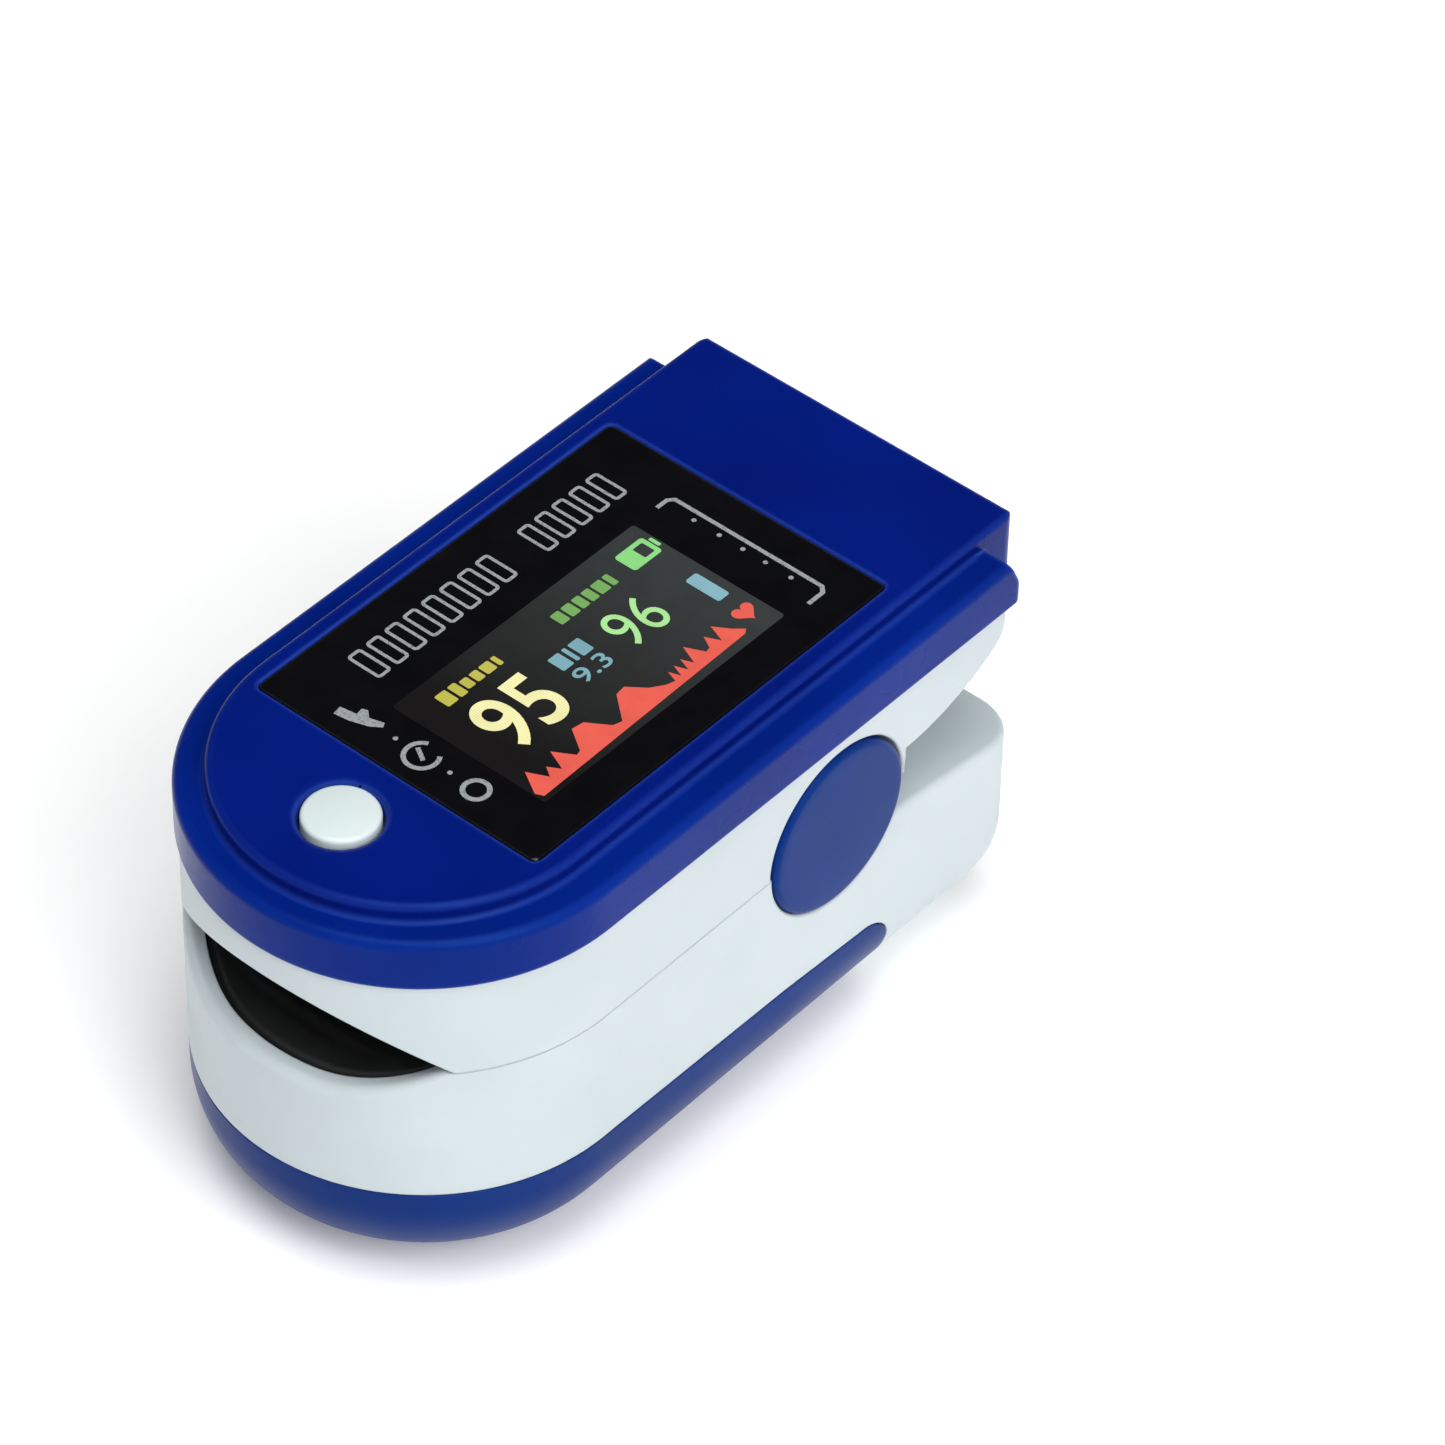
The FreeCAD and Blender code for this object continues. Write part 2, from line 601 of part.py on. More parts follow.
pocket(b, sk, "upper_counterbores", roof_bottom - 20.0, reverse=True)
# openings in the roof for the emitter and the flex lead
sk = sketch(b, "emitter_port_outline", "XY_Plane", 24.0)
ring(sk, 0, sensor_y, lens_radius + 0.4)
pocket(b, sk, "emitter_port", 4.0, reverse=True)
sk = sketch(b, "flex_port_outline", "XY_Plane", 24.0)
rect(sk, -3.2, 3.2, 7.4, 10.6)
pocket(b, sk, "flex_port", 4.0, reverse=True)
keep(b)

# ------------------------------------------------------------ silicone pads
b = body("upper_pad")
sk = sketch(b, "upper_pad_outline", "XY_Plane", upper_bottom + 0.15)
dee(sk, shell_half - wall - 0.15, nose_y, pad_rear, 0.8)
pad(b, sk, "upper_pad_block", roof_bottom - 0.05 - upper_bottom - 0.15)
sk = sketch(b, "upper_pad_arch", "XZ_Plane", 30.0)
path(sk, (-11.13, upper_bottom - 1.0), [("L", 11.13, upper_bottom - 1.0), ("L", 11.13, upper_bottom),
     ("A", 0, mouth_top, -11.13, upper_bottom), ("L", -11.13, upper_bottom - 1.0)])
pocket(b, sk, "upper_pad_channel", 30.0 + pad_rear - pad_thick)
sk = sketch(b, "upper_pad_back", "XZ_Plane", 30.0)
path(sk, (-16.0, 26.5), [("L", -16.0, upper_bottom + 1.3), ("L", -11.75, upper_bottom + 1.3),
     ("A", 0, mouth_top + 0.95, 11.75, upper_bottom + 1.3), ("L", 16.0, upper_bottom + 1.3), ("L", 16.0, 26.5),
     ("L", -16.0, 26.5)])
pocket(b, sk, "upper_pad_relief", 40.0)
sk = sketch(b, "upper_lens_port", "XY_Plane", 23.0)
ring(sk, 0, sensor_y, lens_radius + 0.03)
pocket(b, sk, "upper_lens_hole", 4.0, reverse=True)
keep(b)

b = body("lower_pad")
sk = sketch(b, "lower_pad_outline", "XY_Plane", mouth_floor - pad_thick)
dee(sk, shell_half - wall - 0.15, nose_y, pad_rear, 0.8)
pad(b, sk, "lower_pad_block", lower_top - 0.15 - (mouth_floor - pad_thick))
sk = sketch(b, "lower_pad_trough", "XZ_Plane", 30.0)
low_mid_x, low_mid_z = 7.3, 17.685
path(sk, (-10.4, lower_top), [("L", -10.4, lower_top + 1.5), ("L", 10.4, lower_top + 1.5), ("L", 10.4, lower_top),
     ("A", low_mid_x, low_mid_z, mouth_flat, mouth_floor), ("L", -mouth_flat, mouth_floor),
     ("A", -low_mid_x, low_mid_z, -10.4, lower_top)])
pocket(b, sk, "lower_pad_channel", 30.0 + pad_rear - pad_thick)
sk = sketch(b, "lower_pad_under", "XZ_Plane", 30.0)
path(sk, (9.2, mouth_floor - pad_thick - 0.5), [("L", 16.0, mouth_floor - pad_thick - 0.5), ("L", 16.0, lower_top - 1.3),
     ("L", 11.9, lower_top - 1.3), ("L", 9.2, 16.3), ("L", 9.2, mouth_floor - pad_thick - 0.5)])
path(sk, (-9.2, mouth_floor - pad_thick - 0.5), [("L", -16.0, mouth_floor - pad_thick - 0.5), ("L", -16.0, lower_top - 1.3),
     ("L", -11.9, lower_top - 1.3), ("L", -9.2, 16.3), ("L", -9.2, mouth_floor - pad_thick - 0.5)])
pocket(b, sk, "lower_pad_relief", 40.0)
sk = sketch(b, "lower_lens_port", "XY_Plane", 15.0)
ring(sk, 0, sensor_y, lens_radius + 0.03)
pocket(b, sk, "lower_lens_hole", 4.0, reverse=True)
keep(b)

# clear lenses over the emitter and the detector
b = body("emitter_lens")
b.Placement = FreeCAD.Placement(V(0, sensor_y.v, 0), FreeCAD.Rotation())
b.setExpression("Placement.Base.y", sensor_y.t)
sk = sketch(b, "emitter_lens_profile", "YZ_Plane")
path(sk, (0, 25.6), [("L", lens_radius, 25.6), ("L", lens_radius, 24.3), ("D", 0, 24.0), ("L", 0, 25.6)])
f = b.newObject("PartDesign::Revolution", "emitter_lens_turned")
f.Profile = sk
f.ReferenceAxis = (sk, ["V_Axis"])
f.Angle = 360.0
doc.recompute()
keep(b)
b = body("detector_lens")
b.Placement = FreeCAD.Placement(V(0, sensor_y.v, 0), FreeCAD.Rotation())
b.setExpression("Placement.Base.y", sensor_y.t)
sk = sketch(b, "detector_lens_profile", "YZ_Plane")
path(sk, (0, 15.6), [("L", lens_radius, 15.6), ("L", lens_radius, 16.85), ("D", 0, 17.2), ("L", 0, 15.6)])
f = b.newObject("PartDesign::Revolution", "detector_lens_turned")
f.Profile = sk
f.ReferenceAxis = (sk, ["V_Axis"])
f.Angle = 360.0
doc.recompute()
keep(b)

# detector board on the plate, with the photodiode under its lens
keep(box("sensor_board", -5.0, 5.0, -13.0, 2.6, plate_top, plate_top + 0.8))
keep(box("photodiode", -2.0, 2.0, sensor_y - 1.8, sensor_y + 1.8, plate_top + 0.8, 15.5))

# ------------------------------------------------- lower shell, battery door
def loaf(name, half, rear, corner, low, high, edge):
    """Round-nosed block with upright rear corners and a rounded bottom."""
    long_ = body(name + "_long")
    s = sketch(long_, name + "_long_outline", "XY_Plane", low)
    dee(s, half, nose_y, 60.0, 12.0)
    pad(long_, s, name + "_long_block", high - low)
    round_edges(long_, name + "_bottom_round", edge, at_z(q(low).v))
    upright = body(name + "_upright")
    s = sketch(upright, name + "_outline", "XY_Plane", low)
    dee(s, half, nose_y, rear, corner)
    pad(upright, s, name + "_block", high - low)
    end = body(name + "_end")
    s = sketch(end, name + "_end_profile", "YZ_Plane")
    t = 1 - math.sqrt(0.5)
    path(s, (-32.0, low), [("L", rear - edge, low), ("A", rear - edge * t, low + edge * t, rear, low + edge),
                           ("L", rear, high + 1.0), ("L", -32.0, high + 1.0), ("L", -32.0, low)])
    pad(end, s, name + "_end_block", 40.0, middle=True)
    return common(name, [long_, upright, end])


outer = loaf("lower_outer", shell_half, half_length - shell_inset, rear_corner, 0, lower_top, bottom_round)
space = loaf("battery_space", shell_half - wall, half_length - shell_inset - wall, rear_corner - wall,
             wall - 0.1, plate_bottom, bottom_round - wall + 0.1)


def door_zone(name, inset):
    z = body(name)
    s = sketch(z, name + "_profile", "YZ_Plane")
    r = 3.0
    top = door_height - inset
    rear = door_rear - inset
    path(s, (-30.0, -1.0), [("L", rear, -1.0), ("L", rear, top - 0.75 - r),
         ("A", rear - r * 0.27, top - 0.75 - r * 0.27, rear - r, top - 0.72),
         ("L", 4.0, top - 0.3), ("L", -12.0, top), ("L", -30.0, top), ("L", -30.0, -1.0)])
    pad(z, s, name + "_block", 34.0, middle=True)
    return z


zone_shell = door_zone("door_zone_shell", 0.0)
zone_door = door_zone("door_zone_door", door_gap)

tab = box("door_tab", -1.3, 1.3, 13.5, 16.3, wall + 0.05, wall + 0.95)
tab_root = box("door_tab_root", -1.3, 1.3, 12.6, 14.2, 0.6, wall + 0.95)
skin = cut("door_skin", outer, space)
panel_cut = common("door_panel", [skin, zone_door])
grips = group("door_grips", [rod("door_grip%d" % i, 0.45, 9.0, -4.5, -17.0 + 1.7 * i, -0.12, "x") for i in range(4)])
keep(cut("battery_door", fuse("door_with_tab", [panel_cut, tab, tab_root]), grips))

shell0 = cut("shell_without_space", outer, space)
shell1 = cut("shell_without_door", shell0, zone_shell)

# space over the plate for the finger bed and the hinge
bed = body("bed_space")
sk = sketch(bed, "bed_outline", "XY_Plane", plate_top)
dee(sk, shell_half - wall, nose_y, 13.2, 1.2)
pad(bed, sk, "bed_block", 8.0)
# squeeze end platform, sloping down to the rear
plat = body("platform_cut")
sk = sketch(plat, "platform_profile", "YZ_Plane")
path(sk, (14.4, 22.0), [("L", 14.4, 16.5), ("L", 29.5, 14.45), ("L", 29.5, 22.0), ("L", 14.4, 22.0)])
pad(plat, sk, "platform_block", 34.0, middle=True)
plat2 = body("platform_front_cut")
sk = sketch(plat2, "platform_front_profile", "YZ_Plane")
path(sk, (12.8, 22.0), [("L", 12.8, 16.5), ("L", 14.6, 16.5), ("L", 14.6, 22.0), ("L", 12.8, 22.0)])
pad(plat2, sk, "platform_front_block", (shell_half - wall) * 2, middle=True)
# finger mouth
mouth = body("lower_mouth_cut")
sk = sketch(mouth, "lower_mouth_profile", "XZ_Plane", 31.0)
path(sk, (-10.4, lower_top), [("L", -10.4, lower_top + 1.5), ("L", 10.4, lower_top + 1.5), ("L", 10.4, lower_top),
     ("A", low_mid_x, low_mid_z, mouth_flat, mouth_floor), ("L", -mouth_flat, mouth_floor),
     ("A", -low_mid_x, low_mid_z, -10.4, lower_top)])
pad(mouth, sk, "lower_mouth_block", 14.0, reverse=True)
recess_r = rod("disc_recess_right", disc_radius + 0.1, 2.0, 14.0, hinge_y, hinge_z, "x")
recess_l = rod("disc_recess_left", disc_radius + 0.1, 2.0, -16.0, hinge_y, hinge_z, "x")
shell2 = cut("shell_open", shell1, group("shell_cuts", [bed, plat, plat2, mouth, recess_r, recess_l]))


def ear(name, x):
    e = body(name)
    s = sketch(e, name + "_profile", "YZ_Plane", x)
    path(s, (hinge_y - 5.5, plate_top - 0.5), [("L", hinge_y + 4.6, plate_top - 0.5), ("L", hinge_y + 4.6, 16.4),
         ("A", hinge_y + 3.9, hinge_z + 3.878, hinge_y, hinge_z + 5.5),
         ("A", hinge_y - 3.889, hinge_z + 3.889, hinge_y - 5.5, hinge_z),
         ("L", hinge_y - 5.5, plate_top - 0.5)])
    pad(e, s, name + "_plate", 1.4)
    return e


ear_r = ear("lower_ear_right", 12.5)
ear_l = ear("lower_ear_left", -13.9)
rib_front = box("contact_rib_front", -7.5, 7.5, -23.6, -22.8, 5.4, plate_bottom + 0.3)
rib_rear = box("contact_rib_rear", -9.2, 9.2, 24.9, 25.7, 4.6, plate_bottom + 0.3)
boss_a = rod("board_boss_front", 1.3, 2.2, 0, -12.0, plate_bottom - 1.9)
boss_b = rod("board_boss_rear", 1.3, 2.2, 0, 0.0, plate_bottom - 1.9)
eye_block = box("eye_block", -3.0, 3.0, 24.9, 27.3, 8.4, 14.1)
shell3 = fuse("shell_with_ears", [shell2, ear_r, ear_l, rib_front, rib_rear, boss_a, boss_b, eye_block])
eye_slot = box("eye_slot", -1.7, 1.7, eye_y - eye_radius, 29.0, 9.0, 11.2)
eye_bore = rod("eye_bore", eye_radius, 6.0, 0, eye_y, 10.0)
bore_r = rod("lower_pin_bore_right", pin_radius, 3.0, 12.0, hinge_y, hinge_z, "x")
bore_l = rod("lower_pin_bore_left", pin_radius, 3.0, -15.0, hinge_y, hinge_z, "x")
pilot_a = rod("board_pilot_front", 0.7, 2.7, 0, -12.0, plate_bottom - 1.7)
pilot_b = rod("board_pilot_rear", 0.7, 2.7, 0, 0.0, plate_bottom - 1.7)
keep(cut("lower_shell", shell3, group("shell_bores", [eye_slot, eye_bore, bore_r, bore_l, pilot_a, pilot_b])))

# ------------------------------------------------------------ hinge hardware
pins = [rod("hinge_pin_right", pin_radius, 13.9 - 7.6, 7.6, hinge_y, hinge_z, "x"),
        rod("hinge_pin_left", pin_radius, 13.9 - 7.6, -13.9, hinge_y, hinge_z, "x")]
keep(group("hinge_pins", pins))
for side, x in (("left", -(half_width)), ("right", half_width - disc_thick)):
    b = body("hinge_disc_" + side)
    sk = sketch(b, "disc_outline_" + side, "YZ_Plane", x)
    ring(sk, hinge_y, hinge_z, disc_radius)
    pad(b, sk, "disc_plate_" + side, disc_thick)
    face_x = -half_width.v if side == "left" else half_width.v
    round_edges(b, "disc_round_" + side, 0.45, lambda e, fx=face_x: abs(e.BoundBox.XMin - fx) < 0.01
                and abs(e.BoundBox.XMax - fx) < 0.01)
    keep(b)


def torsion_spring(x0, turns, wire, mean, pitch, mirror):
    """Coil round the hinge pin with one leg up to the roof, one down to the plate."""
    lean = math.radians(15.5)
    sweep = 2 * math.pi * turns - 2 * lean
    height = pitch * sweep / (2 * math.pi)
    helix = Part.makeHelix(pitch, height, mean)
    helix.rotate(V(0, 0, 0), V(0, 0, 1), math.degrees(lean))
    helix.rotate(V(0, 0, 0), V(1, 1, 1), 120)
    helix.translate(V(x0, hinge_y.v, hinge_z.v))
    edge = helix.Edges[0]
    e0, e1 = edge.valueAt(edge.FirstParameter), edge.valueAt(edge.LastParameter)
    t0, t1 = edge.tangentAt(edge.FirstParameter), edge.tangentAt(edge.LastParameter)
    a = e0 - t0 * ((e0.z - plate_top.v - 0.45) / t0.z)
    z = e1 + t1 * ((roof_bottom.v - 0.45 - e1.z) / t1.z)
    line = Part.Wire([Part.makeLine(a, e0), edge, Part.makeLine(e1, z)])
    prof = Part.Wire([Part.makeCircle(wire, a, t0)])
    s = line.makePipeShell([prof], True, False, 1)
    if mirror:
        s = s.mirror(V(0, 0, 0), V(1, 0, 0))
    length = (e0 - a).Length + edge.Length + (z - e1).Length
    print("spring volume", round(s.Volume, 3), "wire", round(math.pi * wire * wire * length, 3))
    return s


spring = doc.addObject("Part::Feature", "torsion_springs")
right = torsion_spring(7.9, 3, 0.3, 2.3, 0.72, False)
left = torsion_spring(7.9, 3, 0.3, 2.3, 0.72, True)
spring.Shape = Part.makeCompound(right.Solids + left.Solids)
keep(spring, "torsion_springs")

# flex lead between the two boards, through the hinge line
b = body("flex_cable")
sk = sketch(b, "flex_profile", "YZ_Plane")
zb, zt, yv, t = plate_top + 0.9, board_bottom - 0.1, hinge_y, 0.1
k = 0.7071
path(sk, (1.4, zb - t), [("L", yv - 1.2, zb - t),
     ("A", yv - 1.2 + 1.3 * k, zb + 1.2 - 1.3 * k, yv + 0.1, zb + 1.2), ("L", yv + 0.1, zt - 1.2),
     ("A", yv + 1.2 - 1.1 * k, zt - 1.2 + 1.1 * k, yv + 1.2, zt - t), ("L", 12.8, zt - t), ("L", 12.8, zt + t),
     ("L", yv + 1.2, zt + t),
     ("A", yv + 1.2 - 1.3 * k, zt - 1.2 + 1.3 * k, yv - 0.1, zt - 1.2), ("L", yv - 0.1, zb + 1.2),
     ("A", yv - 1.2 + 1.1 * k, zb + 1.2 - 1.1 * k, yv - 1.2, zb + t), ("L", 1.4, zb + t), ("L", 1.4, zb - t)])
pad(b, sk, "flex_strip", 5.0, middle=True)
keep(b)

# board screws for the detector board
bs = []
for i, y in enumerate((-12.0, 0.0)):
    shank = rod("board_screw_shank%d" % i, 0.7, 3.0, 0, y, plate_top + 0.8 - 3.0)
    head = rod("board_screw_head%d" % i, 1.2, 0.6, 0, y, plate_top + 0.8)
    bs.append(fuse("board_screw%d" % i, [shank, head]))
keep(group("board_screws", bs))
pilots = group("sensor_board_pilots", [rod("sensor_pilot_front", 0.75, 2.0, 0, -12.0, 13.4),
                                       rod("sensor_pilot_rear", 0.75, 2.0, 0, 0.0, 13.4)])
blank = nodes.pop("sensor_board")
blank.Label = "sensor_board_blank"
keep(cut("sensor_board", blank, pilots))

# ------------------------------------------------- cells, contacts, springs
for side, x, front in (("left", -cell_x, cell_front), ("right", cell_x, cell_front)):
    # left cell: positive nub to the nose; right cell: positive nub to the rear
    if side == "left":
        can = rod("cell_can_left", cell_radius, cell_length - nub_length, x, cell_front + nub_length, cell_z, "y")
        nub = rod("cell_nub_left", nub_radius, nub_length + 0.4, x, cell_front, cell_z, "y")
    else:
        can = rod("cell_can_right", cell_radius, cell_length - nub_length, x, cell_front, cell_z, "y")
        nub = rod("cell_nub_right", nub_radius, nub_length + 0.4, x, cell_front + cell_length - nub_length - 0.4, cell_z, "y")
    keep(fuse("aaa_cell_" + side, [can, nub]))
cell_rear = cell_front + cell_length
plate = box("bridge_strip", -8.4, 8.4, -22.8, -22.5, 5.4, 9.2)
dimple = rod("bridge_dimple", 1.7, 1.15, -cell_x, -22.5, cell_z, "y")
keep(fuse("bridge_contact", [plate, dimple]))
keep(box("negative_contact", -8.6, -2.4, 24.6, 24.9, 4.8, 9.8))
plate = box("positive_plate", 2.4, 8.6, 24.6, 24.9, 4.8, 9.8)
dimple = rod("positive_dimple", 1.7, 1.35, cell_x, 23.25, cell_z, "y")
keep(fuse("positive_contact", [plate, dimple]))


def cell_spring(x, y_plate, y_cell):
    """Conical coil from a contact plate to the flat end of a cell."""
    span = y_cell - y_plate
    wire = 0.2
    length = abs(span) - 2 * wire - 0.1
    helix = Part.makeHelix(length / 2.0, length, 2.2)
    e = helix.Edges[0]
    p0 = helix.Vertexes[0].Point
    prof = Part.Wire([Part.makeCircle(wire, p0, e.tangentAt(e.FirstParameter))])
    s = Part.Wire(helix.Edges).makePipeShell([prof], True, True)
    s.rotate(V(0, 0, 0), V(1, 0, 0), -90 if span > 0 else 90)
    s.translate(V(x, y_plate + math.copysign(wire + 0.05, span), cell_z.v))
    return s


coils = doc.addObject("Part::Feature", "cell_springs")
s1 = cell_spring(cell_x.v, -22.5, cell_front.v)
s2 = cell_spring(-cell_x.v, 24.6, cell_rear.v)
coils.Shape = Part.makeCompound(s1.Solids + s2.Solids)
print("cell spring volumes", round(s1.Volume, 3), round(s2.Volume, 3))
keep(coils, "cell_springs")

# --------------------------------------------------------------- check, write
doc.recompute()
bad = []
for o in doc.Objects:
    if "Invalid" in o.State or "Error" in o.State:
        bad.append(o.Name)
for name, o in nodes.items():
    if o.Shape.isNull() or not o.Shape.isValid() or not o.Shape.Solids:
        bad.append(name)
if bad:
    raise RuntimeError("failed: " + ", ".join(bad))
os.makedirs("parts", exist_ok=True)
box_all = None
for name, o in nodes.items():
    o.Shape.exportStep(os.path.join("parts", name + ".step"))
    ob = o.Shape.optimalBoundingBox(False)
    box_all = ob if box_all is None else box_all.united(ob)
    print("%-18s solids %d volume %9.2f  x %.2f %.2f  y %.2f %.2f  z %.2f %.2f" % (
        name, len(o.Shape.Solids), o.Shape.Volume, ob.XMin, ob.XMax, ob.YMin, ob.YMax, ob.ZMin, ob.ZMax))
print(len(nodes), "nodes", box_all)
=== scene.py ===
import math
import bpy
import bmesh
from mathutils import Matrix, Vector


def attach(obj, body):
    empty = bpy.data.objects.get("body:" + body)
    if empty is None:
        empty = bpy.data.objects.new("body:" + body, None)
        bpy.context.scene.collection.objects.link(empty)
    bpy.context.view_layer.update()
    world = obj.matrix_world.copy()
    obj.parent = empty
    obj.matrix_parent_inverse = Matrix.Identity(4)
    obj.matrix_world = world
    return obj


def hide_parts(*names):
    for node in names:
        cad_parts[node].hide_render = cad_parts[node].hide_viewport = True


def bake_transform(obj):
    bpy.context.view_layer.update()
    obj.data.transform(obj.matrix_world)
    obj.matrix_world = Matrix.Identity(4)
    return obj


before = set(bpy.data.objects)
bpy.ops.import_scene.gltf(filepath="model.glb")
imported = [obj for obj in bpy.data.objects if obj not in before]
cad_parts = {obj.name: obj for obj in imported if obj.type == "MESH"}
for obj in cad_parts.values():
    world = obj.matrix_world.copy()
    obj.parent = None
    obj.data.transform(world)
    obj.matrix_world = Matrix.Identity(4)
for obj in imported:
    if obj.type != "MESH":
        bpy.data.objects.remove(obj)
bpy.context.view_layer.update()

# Fingertip pulse oximeter. The pieces are built here in millimetres in the
# model's own frame and are scaled to metres when each one is finished.
scene = bpy.context.scene
MM = 0.001
cos, sin, pi = math.cos, math.sin, math.pi

# ---------------------------------------------------------------- dimensions
HALF_W, HALF_L = 15.2, 28.3
NOSE_Y = HALF_W - HALF_L
SHELL = 14.95
WALL = 1.3
SEAM = 19.35
SEAM_GAP = 0.03                     # half of the parting gap that shows
HY, HZ = 8.76, 19.43                # hinge line
BTN_Y = -20.3
FL_LO, FL_HI, TOP = 26.9, 30.7, 31.95


# ------------------------------------------------------------------- helpers
def new_obj(name, verts, faces):
    me = bpy.data.meshes.new(name)
    me.from_pydata([tuple(v) for v in verts], [], [tuple(f) for f in faces])
    me.update()
    o = bpy.data.objects.new(name, me)
    scene.collection.objects.link(o)
    bm = bmesh.new()
    bm.from_mesh(me)
    bmesh.ops.recalc_face_normals(bm, faces=bm.faces)
    bm.to_mesh(me)
    bm.free()
    return o


def applied(o):
    dg = bpy.context.evaluated_depsgraph_get()
    me = bpy.data.meshes.new_from_object(o.evaluated_get(dg), preserve_all_data_layers=True, depsgraph=dg)
    o.modifiers.clear()
    old = o.data
    o.data = me
    bpy.data.meshes.remove(old)
    return o


def boolean(a, b, op="DIFFERENCE"):
    m = a.modifiers.new("cut", "BOOLEAN")
    m.operation = op
    m.solver = "EXACT"
    m.object = b
    applied(a)
    bpy.data.objects.remove(b)
    return a


def minus(a, *tools):
    for t in tools:
        boolean(a, t, "DIFFERENCE")
    return a


def plus(a, *parts):
    for t in parts:
        boolean(a, t, "UNION")
    return a


def dee(R, yc, yr, rc, inset=0.0, nose=96, side=6, corner=12, rear=4):
    """Outline with a round nose at -Y and round corners at the rear."""
    r, e, k = R - inset, yr - inset, max(rc - inset, 0.02)
    pts = [(r * cos(pi + pi * i / nose), yc + r * sin(pi + pi * i / nose)) for i in range(nose + 1)]
    y1 = e - k
    pts += [(r, yc + (y1 - yc) * i / side) for i in range(1, side)]
    pts += [(r - k + k * cos(pi / 2 * i / corner), y1 + k * sin(pi / 2 * i / corner)) for i in range(corner + 1)]
    pts += [((r - k) * (1 - 2 * i / rear), e) for i in range(1, rear)]
    pts += [(-r + k - k * sin(pi / 2 * i / corner), y1 + k * cos(pi / 2 * i / corner)) for i in range(corner + 1)]
    pts += [(-r, y1 + (yc - y1) * i / side) for i in range(1, side)]
    return pts


def rrect(x0, x1, y0, y1, r, inset=0.0, n=8):
    x0, x1, y0, y1 = x0 + inset, x1 - inset, y0 + inset, y1 - inset
    r = max(r - inset, 0.01)
    pts = []
    for cx, cy, a in ((x1 - r, y0 + r, -pi / 2), (x1 - r, y1 - r, 0), (x0 + r, y1 - r, pi / 2), (x0 + r, y0 + r, pi)):
        pts += [(cx + r * cos(a + pi / 2 * i / n), cy + r * sin(a + pi / 2 * i / n)) for i in range(n + 1)]
    return pts


def loft(name, rings):
    """rings: lists of 3-D points of equal length, closed at both ends."""
    n = len(rings[0])
    verts = [p for r in rings for p in r]
    faces = []
    for k in range(len(rings) - 1):
        for j in range(n):
            a, b = k * n + j, k * n + (j + 1) % n
            faces.append((a, b, b + n, a + n))
    faces.append(tuple(range(n))[::-1])
    faces.append(tuple((len(rings) - 1) * n + j for j in range(n)))
    return new_obj(name, verts, faces)


def lift(pts, z):
    return [(x, y, z) for x, y in pts]


def stack(name, outline, steps):
    """outline(inset) -> 2-D points; steps: (z, inset) pairs from below up."""
    return loft(name, [lift(outline(i), z) for z, i in steps])


def arc(z0, i0, z1, i1, n, start):
    """Quarter round between (z0, i0) and (z1, i1); 'z' leaves z0 upright."""
    out = []
    for k in range(n + 1):
        a = pi / 2 * k / n
        if start == "z":
            out.append((z0 + (z1 - z0) * sin(a), i0 + (i1 - i0) * (1 - cos(a))))
        else:
            out.append((z0 + (z1 - z0) * (1 - cos(a)), i0 + (i1 - i0) * sin(a)))
    return out


def prism(name, pts, axis, lo, hi):
    """Extrudes a closed 2-D outline. axis x: points are (y, z); y: (x, z); z: (x, y)."""
    def at(p, t):
        return {"x": (t, p[0], p[1]), "y": (p[0], t, p[1]), "z": (p[0], p[1], t)}[axis]
    return loft(name, [[at(p, lo) for p in pts], [at(p, hi) for p in pts]])


def block(name, x0, x1, y0, y1, z0, z1):
    return prism(name, [(x0, y0), (x1, y0), (x1, y1), (x0, y1)], "z", z0, z1)


def turned(name, steps, centre, axis="z", n=96):
    """steps: (position along axis, radius). Closed solid of revolution."""
    rings = []
    for h, r in steps:
        ring = []
        for j in range(n):
            a = 2 * pi * j / n
            u, v = r * cos(a), r * sin(a)
            if axis == "z":
                ring.append((centre[0] + u, centre[1] + v, h))
            elif axis == "x":
                ring.append((h, centre[0] + u, centre[1] + v))
            else:
                ring.append((centre[0] + u, h, centre[1] + v))
        rings.append(ring)
    return loft(name, rings)


def grid_solid(name, front, back, nu, nv):
    """Closed solid between two (nu+1) x (nv+1) grids of points."""
    verts = [front(i, j) for j in range(nv + 1) for i in range(nu + 1)]
    m = len(verts)
    verts += [back(i, j) for j in range(nv + 1) for i in range(nu + 1)]
    faces = []

    def k(i, j, s=0):
        return s * m + j * (nu + 1) + i
    for j in range(nv):
        for i in range(nu):
            faces.append((k(i, j), k(i + 1, j), k(i + 1, j + 1), k(i, j + 1)))
            faces.append((k(i, j, 1), k(i, j + 1, 1), k(i + 1, j + 1, 1), k(i + 1, j, 1)))
    for i in range(nu):
        faces.append((k(i, 0), k(i, 0, 1), k(i + 1, 0, 1), k(i + 1, 0)))
        faces.append((k(i, nv), k(i + 1, nv), k(i + 1, nv, 1), k(i, nv, 1)))
    for j in range(nv):
        faces.append((k(0, j), k(0, j + 1), k(0, j + 1, 1), k(0, j, 1)))
        faces.append((k(nu, j), k(nu, j, 1), k(nu, j + 1, 1), k(nu, j + 1)))
    return new_obj(name, verts, faces)


def flare(d, f):
    """Height of a quarter-round lip at distance d inside an edge."""
    if d <= 0:
        return f
    if d >= f:
        return 0.0
    t = 1 - d / f
    return f * (1 - math.sqrt(max(0.0, 1 - t * t)))


